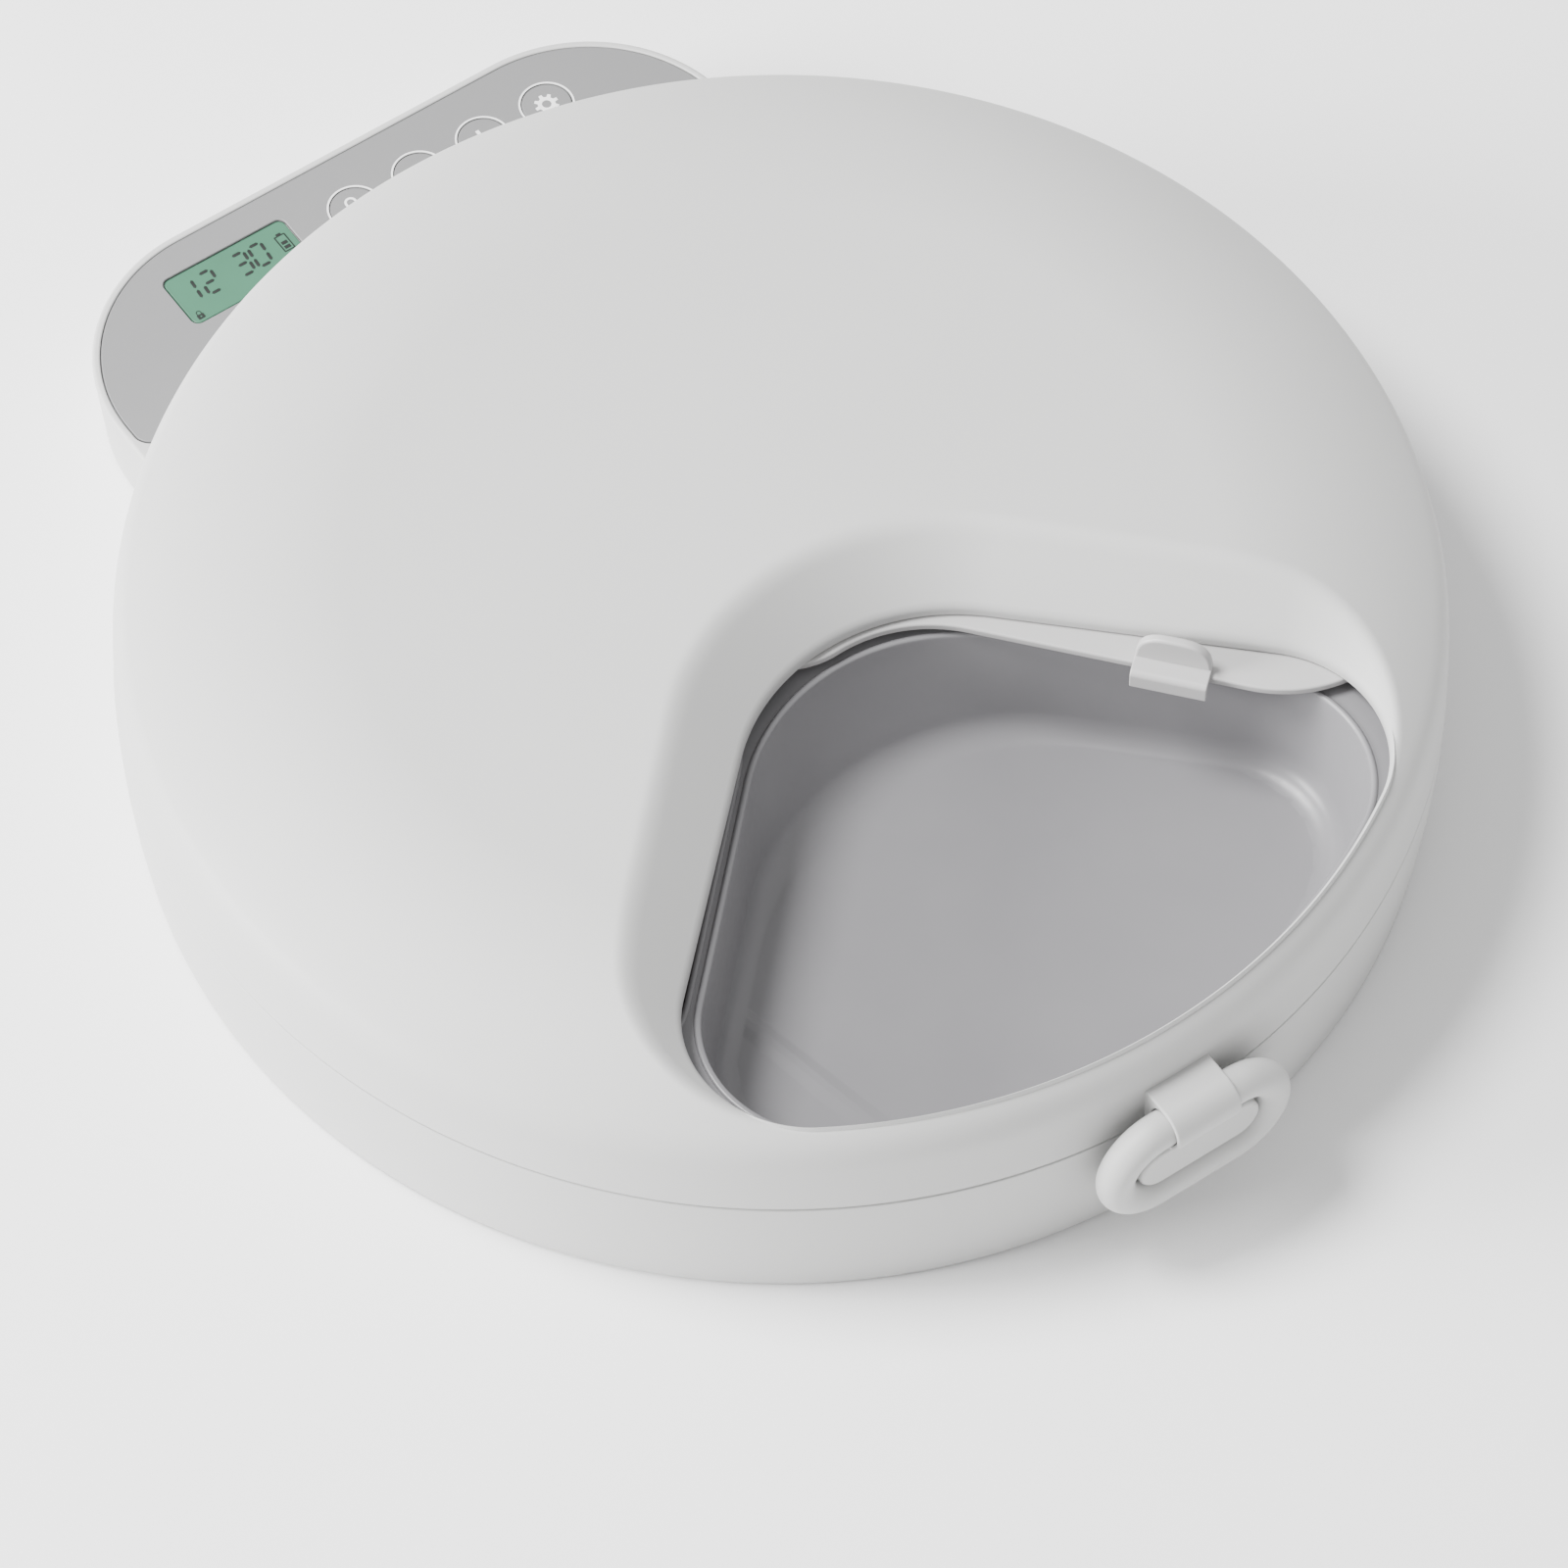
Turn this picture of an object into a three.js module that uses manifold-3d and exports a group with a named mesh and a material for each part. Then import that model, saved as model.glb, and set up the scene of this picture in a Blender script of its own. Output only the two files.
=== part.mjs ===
// Automatic pet feeder: a round, lidded base with a turning food tray and a rear control panel.
// Millimetres, +Z up, control panel towards +Y, latch towards -Y.
// Every piece is built round the tray's axis; the last lines move the origin to the middle of the
// footprint on the floor.

import * as THREE from 'three';
import { mergeVertices } from 'three/addons/utils/BufferGeometryUtils.js';
import Module from 'manifold-3d';

const wasm = await Module();
wasm.setup();

// ---------------------------------------------------------------- driving dimensions

const RIGHT_ANGLE = Math.PI / 2;
const FULL_TURN = 2 * Math.PI;
const ROUND_FACETS = 64;      // facets round the body
const MIDDLE_FACETS = 28;     // facets round the turret and hub
const SMALL_FACETS = 16;      // facets round a foot or button
const TINY_FACETS = 10;       // facets round a screw or shaft
const HEX = 6;                // flats of the tray's drive socket
const CUT = 2;                // how far a cutter runs past the face it opens
const FUSE = 1;               // how far joined solids run into each other

const GAP = 0.4;              // between moulded pieces that meet
const CLOSE_GAP = 0.3;        // between small pieces that touch
const WALL = 2.4;             // moulded wall of the base
const SKIN = 1.8;             // thinner moulded skin of lid, tray and panel

// body
const FOOT_DROP = 0.6;        // floor to the lower edge of the shell
const SEAM_RADIUS = 151;      // where lid and base meet
const BASE_RADIUS = SEAM_RADIUS - 2.4;        // at the lower edge
const SEAM_Z = 35.4;
const LIP_RISE = 3.2;         // locating lip of the base inside the lid
const LIP_WALL = 2;

// lid crown
const CROWN_Z = 72.4;
const WALL_TOP = { r: SEAM_RADIUS - 0.6, z: SEAM_Z + 13.1 };
const WALL_TURN = { r: SEAM_RADIUS - 0.7, z: SEAM_Z + 19.9 };   // where wall and shoulder would meet
const SHOULDER = { r: SEAM_RADIUS - 4.6, z: SEAM_Z + 22.8 };
const CROWN_EDGE = { r: SEAM_RADIUS - 53, z: CROWN_Z - 0.9 };
const CROWN_TURNS = [{ r: SEAM_RADIUS - 15, z: CROWN_Z - 6.4 }, { r: SEAM_RADIUS - 35, z: CROWN_Z - 1.2 }];
const LID_RIM_Z = SEAM_Z + GAP;

// food window, a rounded sector centred on -Y
const WINDOW = {
  halfAngle: 46 * Math.PI / 180,
  side: -0.3,
  reach: SHOULDER.r - 2,
  corner: 28.4,
  inner: 49,
};
const WINDOW_Z = SHOULDER.z + 1.1;            // plane of the window's rim
const WINDOW_RIM = 2.8;       // depth of the window's rim
const FUNNEL_SLOPE = 1.165;   // outward run of the scooped surround for each unit of rise

// electronics deck
const COVER_Z = 1.6;          // underside of the bottom cover
const COVER_THICK = 2.2;
const DECK_Z = 8.6;           // underside of the deck
const DECK_THICK = 2.2;

// control panel housing at the rear
const HOUSING = { halfStraight: 45.1, cornerY: SEAM_RADIUS - 6.9, corner: 41.2 };
const HOUSING_Z = 24;
const HOUSING_DRAFT = 1.8;
const HOUSING_ROOT_Y = 100;   // where the housing ends inside the round body
const PLATE_INSET = 2.2;
const PLATE_THICK = 1.1;
const PLATE_FRONT_RADIUS = SEAM_RADIUS + 6.5;
const PLATE_FILLET = 4.5;
const CONTROL_Y = SEAM_RADIUS + 16.5;         // centre line of display and buttons
const DISPLAY = { x: -38.15, width: 33.5, depth: 15, corner: 1.8, thick: 5 };
const BUTTON = { radius: 5.9, pitch: 18.2, firstX: -5.3, flange: 1.3 };
const BUTTON_NAMES = ['lock', 'minus', 'plus', 'settings'];
const BOARD = { width: 116, depth: 20, thick: 1.6, z: 14 };
const SWITCH = { size: 6, height: 2.3, plunger: 1.6, plungerRise: 0.8 };

// drive in the middle of the base
const TURRET = { radius: 20, z: SEAM_Z + 6.6 };
const SPINDLE = { radius: 3.5, bottom: TURRET.z - 8.6, dogZ: TURRET.z + 0.3, top: TURRET.z + 4.4 };
const GEARBOX_PLATE = { z: TURRET.z - 10.6, thick: 1.6 };
const MODULE = 0.5;           // gear module
const TOOTH = { rise: 0.85, depth: 1.25, tipShare: 0.11, rootShare: 0.34 };   // in modules and steps
const TEETH = { output: 32, idlerSmall: 10, idlerLarge: 24, pinion: 8 };
const LOWER_GEARS = { z: TURRET.z - 8.4, width: 2.4 };
const UPPER_GEARS = { z: TURRET.z - 5.6, width: 2.6 };
const MOTOR = { radius: 6, bottom: 5 };
const SHAFT_RADIUS = 0.8;
const SHAFT_TOP = TURRET.z - 2.4;
const SHAFT_SINK = 4;         // how far the pinion's shaft runs down into the motor

// batteries under a raised part of the deck
const CELL = { radius: 7.15, length: 50.2, nub: 2.6, nubRise: 1, count: 4 };
const CELL_PITCH = 2 * CELL.radius + 0.5;
const CELL_Z = COVER_Z + COVER_THICK + CELL.radius + 0.65;
const BAY = {
  front: 81.6,
  rear: 81.6 + CELL.length + 8,
  halfWidth: 1.5 * CELL_PITCH + CELL.radius + 1.45,
  ceiling: CELL_Z + CELL.radius + 0.35,
};
const ISLAND_TAIL = 6;        // how far the raised part runs on behind the bay
const CONTACT = { thick: 0.6, sideGap: 1.5, footGap: 1.4, topGap: 1, front: 1, rear: 2.4 };
const CELL_INSET = 2.6;       // from the bay's front wall to the cells
const DOOR_TAIL = 2;          // from the door's hinge line to its edge
const DOOR_GRIP = { halfWidth: 9, front: 9, rear: 6, depth: 0.8 };

// ice packs
const ICE = {
  mid: 82,
  halfWidth: 34,
  thick: 9.6,
  halfArc: 40 * Math.PI / 180,
  azimuth: 186 * Math.PI / 180,
};
const ICE_LIFT = 0.4;
const ICE_NECK = { radius: 3.5, length: 7 };
const ICE_CAP = { radius: 5, length: 8, top: 1.5 };
const ICE_DIMPLE = { radius: 5, depth: 2, share: 0.75 };

// food tray
const TRAY_RIM_Z = WINDOW_Z - 6.7;
const TRAY_RADIUS = SEAM_RADIUS - 6.4;
const TRAY_RIM_DROP = 6;
const TRAY_FLOOR_Z = BAY.ceiling + 2 * SKIN + 1.5;      // clear of the raised part of the deck
const COMPARTMENTS = 4;
const POCKET_TURN = Math.PI / COMPARTMENTS;     // half of a compartment's share of the turn
const POCKET_RIM = { halfAngle: POCKET_TURN, side: -2.2, reach: TRAY_RADIUS - 2.8, corner: 28, inner: 48 };
const POCKET_FLOOR = { halfAngle: POCKET_TURN, side: -9, reach: TRAY_RADIUS - 12.6, corner: 24, inner: 66 };
const POCKET_WAIST = { halfAngle: POCKET_TURN, side: -4.4, reach: TRAY_RADIUS - 6.6, corner: 27, inner: 62 };
const POCKET_WAIST_Z = TRAY_FLOOR_Z + 4.8;
const HUB_CUP = { radius: 14, floorZ: SPINDLE.top + 2, floorThick: 1.4 };
const HUB_BOSS_RADIUS = 7.5;

// shutter under the lid
const SHUTTER_Z = TRAY_RIM_Z + 1.5;
const SHUTTER_THICK = 2.1;
const SHUTTER = { hub: 21, reach: TRAY_RADIUS - 0.1, corner: 32, fillet: 34 };
const SHUTTER_LEAD = -49.2 * Math.PI / 180;   // azimuth of the leading edge when open
const SHUTTER_SPAN = 92 * Math.PI / 180;
const PIVOT = { post: 6, spigot: 3.2, proud: 0.2, screwHole: 1.6, screwDepth: 6 };
const TAB = { reach: 90, width: 17.6, shelf: 1, overhang: 4, setBack: 1, lip: 1.2, lipDrop: 4.8 };
const FIN = { thick: 2.3, rise: 10.4, roundness: 0.45 };

// front latch
const LATCH = {
  axisY: -SEAM_RADIUS - 6.3,
  axisZ: SEAM_Z + 6.6,
  rod: 4.3,
  endRadius: 11,
  halfStraight: 10.2,
  depth: 8,
};
const SLEEVE = { halfWidth: 8.6, radius: LATCH.rod + 1.4 };
const SLEEVE_TOP = LATCH.axisZ + SLEEVE.radius;
const BOSS_CLEARANCE = 0.8;
const BOSS_FRONT = LATCH.axisY - 2.9;

// fasteners and feet
const FOOT = { radius: 7, edge: 0.6, stem: 2.2, stemRise: 1, orbit: SEAM_RADIUS - 23 };
const FOOT_AZIMUTHS = [35, 145, 215, 325];
const SCREW = { head: 2.8, headThick: 1.3, shank: 1.3, length: 5, boss: 4 };
const SCREW_PLACES = [
  [-66, SEAM_RADIUS + 14], [66, SEAM_RADIUS + 14],
  [-65, 38.4 - SEAM_RADIUS], [65, 38.4 - SEAM_RADIUS],
];

// ---------------------------------------------------------------- finishes

function finish(color, roughness, metalness = 0) {
  return new THREE.MeshStandardMaterial({ color, roughness, metalness });
}

const FINISH = {
  whitePlastic: finish(0xe9e9e8, 0.55),
  greyPlastic: finish(0x9a9a98, 0.5),
  panelGrey: finish(0xb4b4b4, 0.6),
  display: finish(0x76a18a, 0.25),
  icePlastic: finish(0x7cc4ee, 0.4),
  rubber: finish(0x6b6b6b, 0.9),
  steel: finish(0xc0c0c2, 0.35, 1),
  acetal: finish(0xf1efe6, 0.45),
  board: finish(0x2f6b45, 0.5),
  darkPlastic: finish(0x2a2a2c, 0.5),
  cellSleeve: finish(0x3c4a58, 0.4),
};

// ---------------------------------------------------------------- solids from three.js geometry

function signedVolume(position, corners) {
  const a = new THREE.Vector3();
  const b = new THREE.Vector3();
  const c = new THREE.Vector3();
  let total = 0;
  for (let i = 0; i < corners.length; i += 3) {
    a.fromArray(position, corners[i] * 3);
    b.fromArray(position, corners[i + 1] * 3);
    c.fromArray(position, corners[i + 2] * 3);
    total += a.dot(b.cross(c));
  }
  return total / 6;
}

/** A closed geometry as a solid whose faces point out. */
function solid(geometry) {
  const bare = new THREE.BufferGeometry();
  bare.setAttribute('position', geometry.getAttribute('position'));
  bare.setIndex(geometry.index);
  const merged = mergeVertices(bare, 1e-4);
  const position = merged.getAttribute('position').array;
  const index = merged.index.array;
  const corners = [];
  for (let i = 0; i < index.length; i += 3) {
    const [p, q, r] = [index[i], index[i + 1], index[i + 2]];
    if (p !== q && q !== r && r !== p) corners.push(p, q, r);
  }
  if (signedVolume(position, corners) < 0) corners.reverse();
  const mesh = new wasm.Mesh({
    numProp: 3,
    vertProperties: Float32Array.from(position),
    triVerts: Uint32Array.from(corners),
  });
  return new wasm.Manifold(mesh);
}

function joined(...solids) {
  return solids.reduce((whole, next) => whole.add(next));
}

function cut(body, ...cutters) {
  return cutters.reduce((rest, cutter) => rest.subtract(cutter), body);
}

/** A round bar standing on z0. */
function disc(radius, z0, z1, { x = 0, y = 0, facets = SMALL_FACETS } = {}) {
  const geometry = new THREE.CylinderGeometry(radius, radius, z1 - z0, facets);
  return solid(geometry.rotateX(RIGHT_ANGLE).translate(x, y, (z0 + z1) / 2));
}

/** A round bar along X. */
function crossBar(radius, halfLength, y, z, facets = SMALL_FACETS) {
  const geometry = new THREE.CylinderGeometry(radius, radius, 2 * halfLength, facets);
  return solid(geometry.rotateZ(RIGHT_ANGLE).translate(0, y, z));
}

/** A box between two values on each axis. */
function block([x0, x1], [y0, y1], [z0, z1]) {
  const geometry = new THREE.BoxGeometry(x1 - x0, y1 - y0, z1 - z0);
  return solid(geometry.translate((x0 + x1) / 2, (y0 + y1) / 2, (z0 + z1) / 2));
}

/** A body of revolution about Z from [radius, z] pairs that start and end on the axis. */
function turned(profile, facets = ROUND_FACETS) {
  const points = profile.map(([r, z]) => new THREE.Vector2(r, z));
  return solid(new THREE.LatheGeometry(points, facets).rotateX(RIGHT_ANGLE));
}

/** An outline of Vector2 points raised from z0 to z1. */
function prism(outline, z0, z1) {
  const raised = { depth: z1 - z0, bevelEnabled: false };
  return solid(new THREE.ExtrudeGeometry(new THREE.Shape(outline), raised).translate(0, 0, z0));
}

/** A skin over outlines of equal count, each at its own height, closed at both ends. */
function loft(levels) {
  const count = levels[0].outline.length;
  const position = levels.flatMap(({ outline, z }) => outline.flatMap(({ x, y }) => [x, y, z]));
  const index = [];
  for (let level = 0; level + 1 < levels.length; level++) {
    for (let i = 0; i < count; i++) {
      const a = level * count + i;
      const b = level * count + (i + 1) % count;
      index.push(a, b, b + count, a, b + count, a + count);
    }
  }
  const last = (levels.length - 1) * count;
  for (const [a, b, c] of THREE.ShapeUtils.triangulateShape(levels[0].outline, [])) index.push(c, b, a);
  for (const [a, b, c] of THREE.ShapeUtils.triangulateShape(levels.at(-1).outline, [])) {
    index.push(last + a, last + b, last + c);
  }
  const geometry = new THREE.BufferGeometry();
  geometry.setAttribute('position', new THREE.Float32BufferAttribute(position, 3));
  geometry.setIndex(index);
  return solid(geometry);
}

function aboutZ(body, angle) {
  return body.rotate([0, 0, THREE.MathUtils.radToDeg(angle)]);
}

function piece(name, body, material, place = [0, 0, 0]) {
  const { vertProperties, triVerts } = body.getMesh();
  const geometry = new THREE.BufferGeometry();
  geometry.setAttribute('position', new THREE.BufferAttribute(vertProperties, 3));
  geometry.setIndex(new THREE.BufferAttribute(triVerts, 1));
  geometry.computeVertexNormals();
  const mesh = new THREE.Mesh(geometry, material);
  mesh.name = name;
  mesh.position.set(...place);
  return mesh;
}

// ---------------------------------------------------------------- outlines

/** Points on an arc; angles are azimuths from +X. */
function arc(cx, cy, radius, from, to, steps) {
  return Array.from({ length: steps + 1 }, (_, i) => {
    const angle = from + (to - from) * i / steps;
    return new THREE.Vector2(cx + radius * Math.cos(angle), cy + radius * Math.sin(angle));
  });
}

/**
 * A sector centred on -Y with its three corners rounded, grown outwards by grow. Its sides lie the
 * distance side outside the two radial lines at halfAngle.
 */
function roundedSector({ halfAngle, side, reach, corner, inner }, grow = 0) {
  const cornerOrbit = reach - corner;
  const cornerTurn = halfAngle - Math.asin((corner - side) / cornerOrbit);
  const innerOrbit = (inner - side) / Math.sin(halfAngle);
  const down = -RIGHT_ANGLE;
  const right = down + cornerTurn;
  const left = down - cornerTurn;
  const cornerArc = (at, from, to) => (
    arc(cornerOrbit * Math.cos(at), cornerOrbit * Math.sin(at), corner + grow, from, to, 6)
  );
  const points = [
    ...arc(0, 0, reach + grow, left, right, 8),
    ...cornerArc(right, right, halfAngle),
    ...arc(0, -innerOrbit, inner + grow, halfAngle, Math.PI - halfAngle, 7),
    ...cornerArc(left, Math.PI - halfAngle, FULL_TURN + left),
  ];
  return points.filter((point, i) => point.distanceTo(points.at(i - 1)) > 1e-3);
}

/** The control housing's outline, its corners brought in by inset; it runs into the round body. */
function housingOutline(inset) {
  const { halfStraight, cornerY, corner } = HOUSING;
  const radius = corner - inset;
  return [
    new THREE.Vector2(halfStraight + radius, HOUSING_ROOT_Y),
    ...arc(halfStraight, cornerY, radius, 0, RIGHT_ANGLE, 9),
    ...arc(-halfStraight, cornerY, radius, RIGHT_ANGLE, Math.PI, 9),
    new THREE.Vector2(-halfStraight - radius, HOUSING_ROOT_Y),
  ];
}

/** The grey plate's outline: the housing's, ended by an arc round the body with filleted corners. */
function plateOutline(grow = 0) {
  const { halfStraight, cornerY, corner } = HOUSING;
  const radius = corner - PLATE_INSET + grow;
  const fillet = PLATE_FILLET + grow;
  const filletX = halfStraight + corner - PLATE_INSET - PLATE_FILLET;
  const filletY = Math.sqrt((PLATE_FRONT_RADIUS + PLATE_FILLET) ** 2 - filletX ** 2);
  const turn = Math.atan2(filletY, filletX);
  return [
    ...arc(0, 0, PLATE_FRONT_RADIUS - grow, Math.PI - turn, turn, 16).slice(1, -1),
    ...arc(filletX, filletY, fillet, turn - Math.PI, 0, 5),
    ...arc(halfStraight, cornerY, radius, 0, RIGHT_ANGLE, 9),
    ...arc(-halfStraight, cornerY, radius, RIGHT_ANGLE, Math.PI, 9),
    ...arc(-filletX, filletY, fillet, Math.PI, FULL_TURN - turn, 5),
  ];
}

function roundedRectangle(width, depth, corner, cx, cy) {
  const [x, y] = [width / 2 - corner, depth / 2 - corner];
  const quarter = (sx, sy, from) => arc(cx + sx * x, cy + sy * y, corner, from, from + RIGHT_ANGLE, 3);
  return [
    ...quarter(1, -1, -RIGHT_ANGLE), ...quarter(1, 1, 0),
    ...quarter(-1, 1, RIGHT_ANGLE), ...quarter(-1, -1, Math.PI),
  ];
}

// ---------------------------------------------------------------- base

const DECK_TOP = DECK_Z + DECK_THICK;
const COVER_TOP = COVER_Z + COVER_THICK;
const HOUSING_RECESS_Z = HOUSING_Z - PLATE_THICK - CLOSE_GAP;
const HOUSING_CEILING = HOUSING_RECESS_Z - SKIN;
const HUB_BORE = SPINDLE.radius + CLOSE_GAP;
const BUTTON_BORE = BUTTON.radius + CLOSE_GAP;
const TURRET_WALL = 2.2;
const LIP_RADIUS = SEAM_RADIUS - SKIN - GAP;
const LIP_ROOT = 4;
const buttonX = BUTTON_NAMES.map((_, i) => BUTTON.firstX + i * BUTTON.pitch);

/** The outer radius of the base's wall at a height: it leans out and turns upright at the seam. */
function baseRadiusAt(z) {
  const below = (SEAM_Z - z) / (SEAM_Z - FOOT_DROP);
  return SEAM_RADIUS - (SEAM_RADIUS - BASE_RADIUS) * below * below;
}

/** [radius, z] pairs up the base's wall, brought in by inset. */
function baseWall(inset, from, steps) {
  return Array.from({ length: steps + 1 }, (_, i) => {
    const z = from + (SEAM_Z - from) * i / steps;
    return [baseRadiusAt(z) - inset, z];
  });
}

function displayOpening(z0, z1, clearance) {
  const { x, width, depth, corner } = DISPLAY;
  const grow = 2 * clearance;
  return prism(roundedRectangle(width + grow, depth + grow, corner + clearance, x, CONTROL_Y), z0, z1);
}

function buttonBores(z0, z1) {
  return buttonX.map((x) => disc(BUTTON_BORE, z0, z1, { x, y: CONTROL_Y }));
}

function housingSolid(inset, z0, z1) {
  return loft([
    { outline: housingOutline(inset + HOUSING_DRAFT), z: z0 },
    { outline: housingOutline(inset), z: z1 },
  ]);
}

/** Everything the shell encloses below its deck and inside the control housing. */
function baseHollows() {
  const below = FOOT_DROP - CUT;
  const underDeck = disc(BASE_RADIUS - WALL, below, DECK_Z, { facets: ROUND_FACETS });
  const underPanel = prism(housingOutline(WALL + HOUSING_DRAFT), below, DECK_Z);
  const panelRoom = cut(
    prism(housingOutline(WALL + HOUSING_DRAFT), DECK_Z - CUT, HOUSING_CEILING),
    disc(baseRadiusAt(HOUSING_CEILING), 0, HOUSING_Z, { facets: ROUND_FACETS }),
  );
  const turretTop = TURRET.z - TURRET_WALL;
  const turretRoom = disc(TURRET.radius - TURRET_WALL, below, turretTop, { facets: MIDDLE_FACETS });
  const bay = block([-BAY.halfWidth, BAY.halfWidth], [BAY.front, BAY.rear], [below, BAY.ceiling]);
  return [underDeck, underPanel, panelRoom, turretRoom, bay];
}

function baseShell() {
  const tub = turned([[0, FOOT_DROP], ...baseWall(0, FOOT_DROP, 3), [0, SEAM_Z]]);
  const bowl = turned([
    [0, DECK_TOP], ...baseWall(WALL, DECK_TOP, 1),
    [SEAM_RADIUS - WALL, SEAM_Z + CUT], [0, SEAM_Z + CUT],
  ]);
  const lip = turned([
    [LIP_RADIUS - LIP_WALL, SEAM_Z - LIP_ROOT], [SEAM_RADIUS - WALL + FUSE, SEAM_Z - LIP_ROOT],
    [SEAM_RADIUS - WALL + FUSE, SEAM_Z - FUSE], [LIP_RADIUS, SEAM_Z - FUSE],
    [LIP_RADIUS, SEAM_Z + LIP_RISE], [LIP_RADIUS - LIP_WALL, SEAM_Z + LIP_RISE],
    [LIP_RADIUS - LIP_WALL, SEAM_Z - LIP_ROOT],
  ]);
  const turret = disc(TURRET.radius, DECK_TOP - FUSE, TURRET.z, { facets: MIDDLE_FACETS });
  const island = block(
    [-BAY.halfWidth - WALL, BAY.halfWidth + WALL], [BAY.front - WALL, BAY.rear + ISLAND_TAIL],
    [DECK_TOP - FUSE, BAY.ceiling + SKIN],
  );
  const housing = cut(housingSolid(0, FOOT_DROP, HOUSING_Z), bowl);
  const outer = joined(cut(tub, bowl), housing, turret, island, lip);
  const bosses = SCREW_PLACES.map(([x, y]) => {
    const top = (y > 0 ? HOUSING_CEILING : DECK_Z) + FUSE;
    return disc(SCREW.boss, COVER_TOP + GAP, top, { x, y, facets: TINY_FACETS });
  });
  const boreTop = COVER_TOP + SCREW.length + CLOSE_GAP;
  const screwBores = SCREW_PLACES.map(([x, y]) => (
    disc(SCREW.shank + CLOSE_GAP, FOOT_DROP, boreTop, { x, y, facets: TINY_FACETS })
  ));
  const recess = prism(plateOutline(CLOSE_GAP), HOUSING_RECESS_Z, HOUSING_Z + CUT);
  return cut(
    joined(cut(outer, ...baseHollows()), ...bosses),
    ...screwBores,
    recess,
    displayOpening(HOUSING_CEILING - CUT, HOUSING_Z, 2 * CLOSE_GAP),
    ...buttonBores(HOUSING_CEILING - CUT, HOUSING_Z),
    disc(HUB_BORE, TURRET.z - TURRET_WALL - CUT, TURRET.z + CUT),
  );
}

const footPlaces = FOOT_AZIMUTHS.map((degrees) => {
  const angle = degrees * Math.PI / 180;
  return [FOOT.orbit * Math.cos(angle), FOOT.orbit * Math.sin(angle)];
});

function doorOpening(grow) {
  return block(
    [-BAY.halfWidth - grow, BAY.halfWidth + grow], [BAY.front - grow, BAY.rear + grow],
    [COVER_Z - CUT, COVER_TOP + CUT],
  );
}

function bottomCover() {
  const inset = WALL + HOUSING_DRAFT + GAP;
  const plate = joined(
    disc(BASE_RADIUS - WALL - GAP, COVER_Z, COVER_TOP, { facets: ROUND_FACETS }),
    prism(housingOutline(inset), COVER_Z, COVER_TOP),
  );
  const hole = (radius, top, [x, y]) => disc(radius + CLOSE_GAP, 0, top, { x, y, facets: TINY_FACETS });
  const stemHoles = footPlaces.map((place) => hole(FOOT.stem, COVER_TOP + CUT, place));
  const screwHoles = SCREW_PLACES.flatMap((place) => [
    hole(SCREW.shank, COVER_TOP + CUT, place),
    hole(SCREW.head, COVER_Z + SCREW.headThick + CLOSE_GAP, place),
  ]);
  return cut(plate, doorOpening(-CLOSE_GAP), ...stemHoles, ...screwHoles);
}

function foot() {
  return turned([
    [0, 0], [FOOT.radius - FOOT.edge, 0], [FOOT.radius, FOOT.edge],
    [FOOT.radius, COVER_Z - CLOSE_GAP], [FOOT.stem, COVER_Z - CLOSE_GAP],
    [FOOT.stem, COVER_TOP + FOOT.stemRise], [0, COVER_TOP + FOOT.stemRise],
  ], TINY_FACETS * 2);
}

/** A screw standing head down, its head's underside at z = 0. */
function screw({ head, headThick, shank, length }) {
  const profile = [[0, 0], [head, 0], [head, headThick], [shank, headThick], [shank, length], [0, length]];
  return turned(profile, TINY_FACETS);
}

// ---------------------------------------------------------------- control panel

function panelPlate() {
  return cut(
    prism(plateOutline(), HOUSING_Z - PLATE_THICK, HOUSING_Z),
    displayOpening(0, HOUSING_Z + CUT, CLOSE_GAP),
    ...buttonBores(0, HOUSING_Z + CUT),
  );
}

function displayModule() {
  const top = HOUSING_Z - CLOSE_GAP;
  return displayOpening(top - DISPLAY.thick, top, 0);
}

function controlBoard() {
  const [halfWidth, halfDepth] = [BOARD.width / 2, BOARD.depth / 2];
  const depth = [CONTROL_Y - halfDepth, CONTROL_Y + halfDepth];
  return block([-halfWidth, halfWidth], depth, [BOARD.z, BOARD.z + BOARD.thick]);
}

/** A tactile switch on the board, under the middle of its button. */
function boardSwitch() {
  const half = SWITCH.size / 2;
  const bottom = BOARD.z + BOARD.thick + CLOSE_GAP;
  const bodyTop = bottom + SWITCH.height - SWITCH.plungerRise;
  return joined(
    block([-half, half], [-half, half], [bottom, bodyTop]),
    disc(SWITCH.plunger, bodyTop - FUSE / 2, bottom + SWITCH.height, { facets: TINY_FACETS }),
  );
}

function buttonCap() {
  const flangeTop = HOUSING_CEILING - CLOSE_GAP;
  const flangeRadius = BUTTON.radius + BUTTON.flange;
  const bottom = flangeTop - BUTTON.flange;
  return turned([
    [0, bottom], [flangeRadius, bottom], [flangeRadius, flangeTop],
    [BUTTON.radius, flangeTop], [BUTTON.radius, HOUSING_Z], [0, HOUSING_Z],
  ], SMALL_FACETS);
}

// ---------------------------------------------------------------- drive

const pitchRadius = (teeth) => MODULE * teeth / 2;
const idlerOrbit = pitchRadius(TEETH.output) + pitchRadius(TEETH.idlerSmall);
const pinionOrbit = pitchRadius(TEETH.idlerLarge) + pitchRadius(TEETH.pinion);
const IDLER = { x: idlerOrbit, y: 0 };
const PINION_BEARING = 123.3 * Math.PI / 180;   // from the idler to the pinion, clear of the spindle
const PINION = {
  x: IDLER.x + pinionOrbit * Math.cos(PINION_BEARING),
  y: IDLER.y + pinionOrbit * Math.sin(PINION_BEARING),
};

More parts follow.
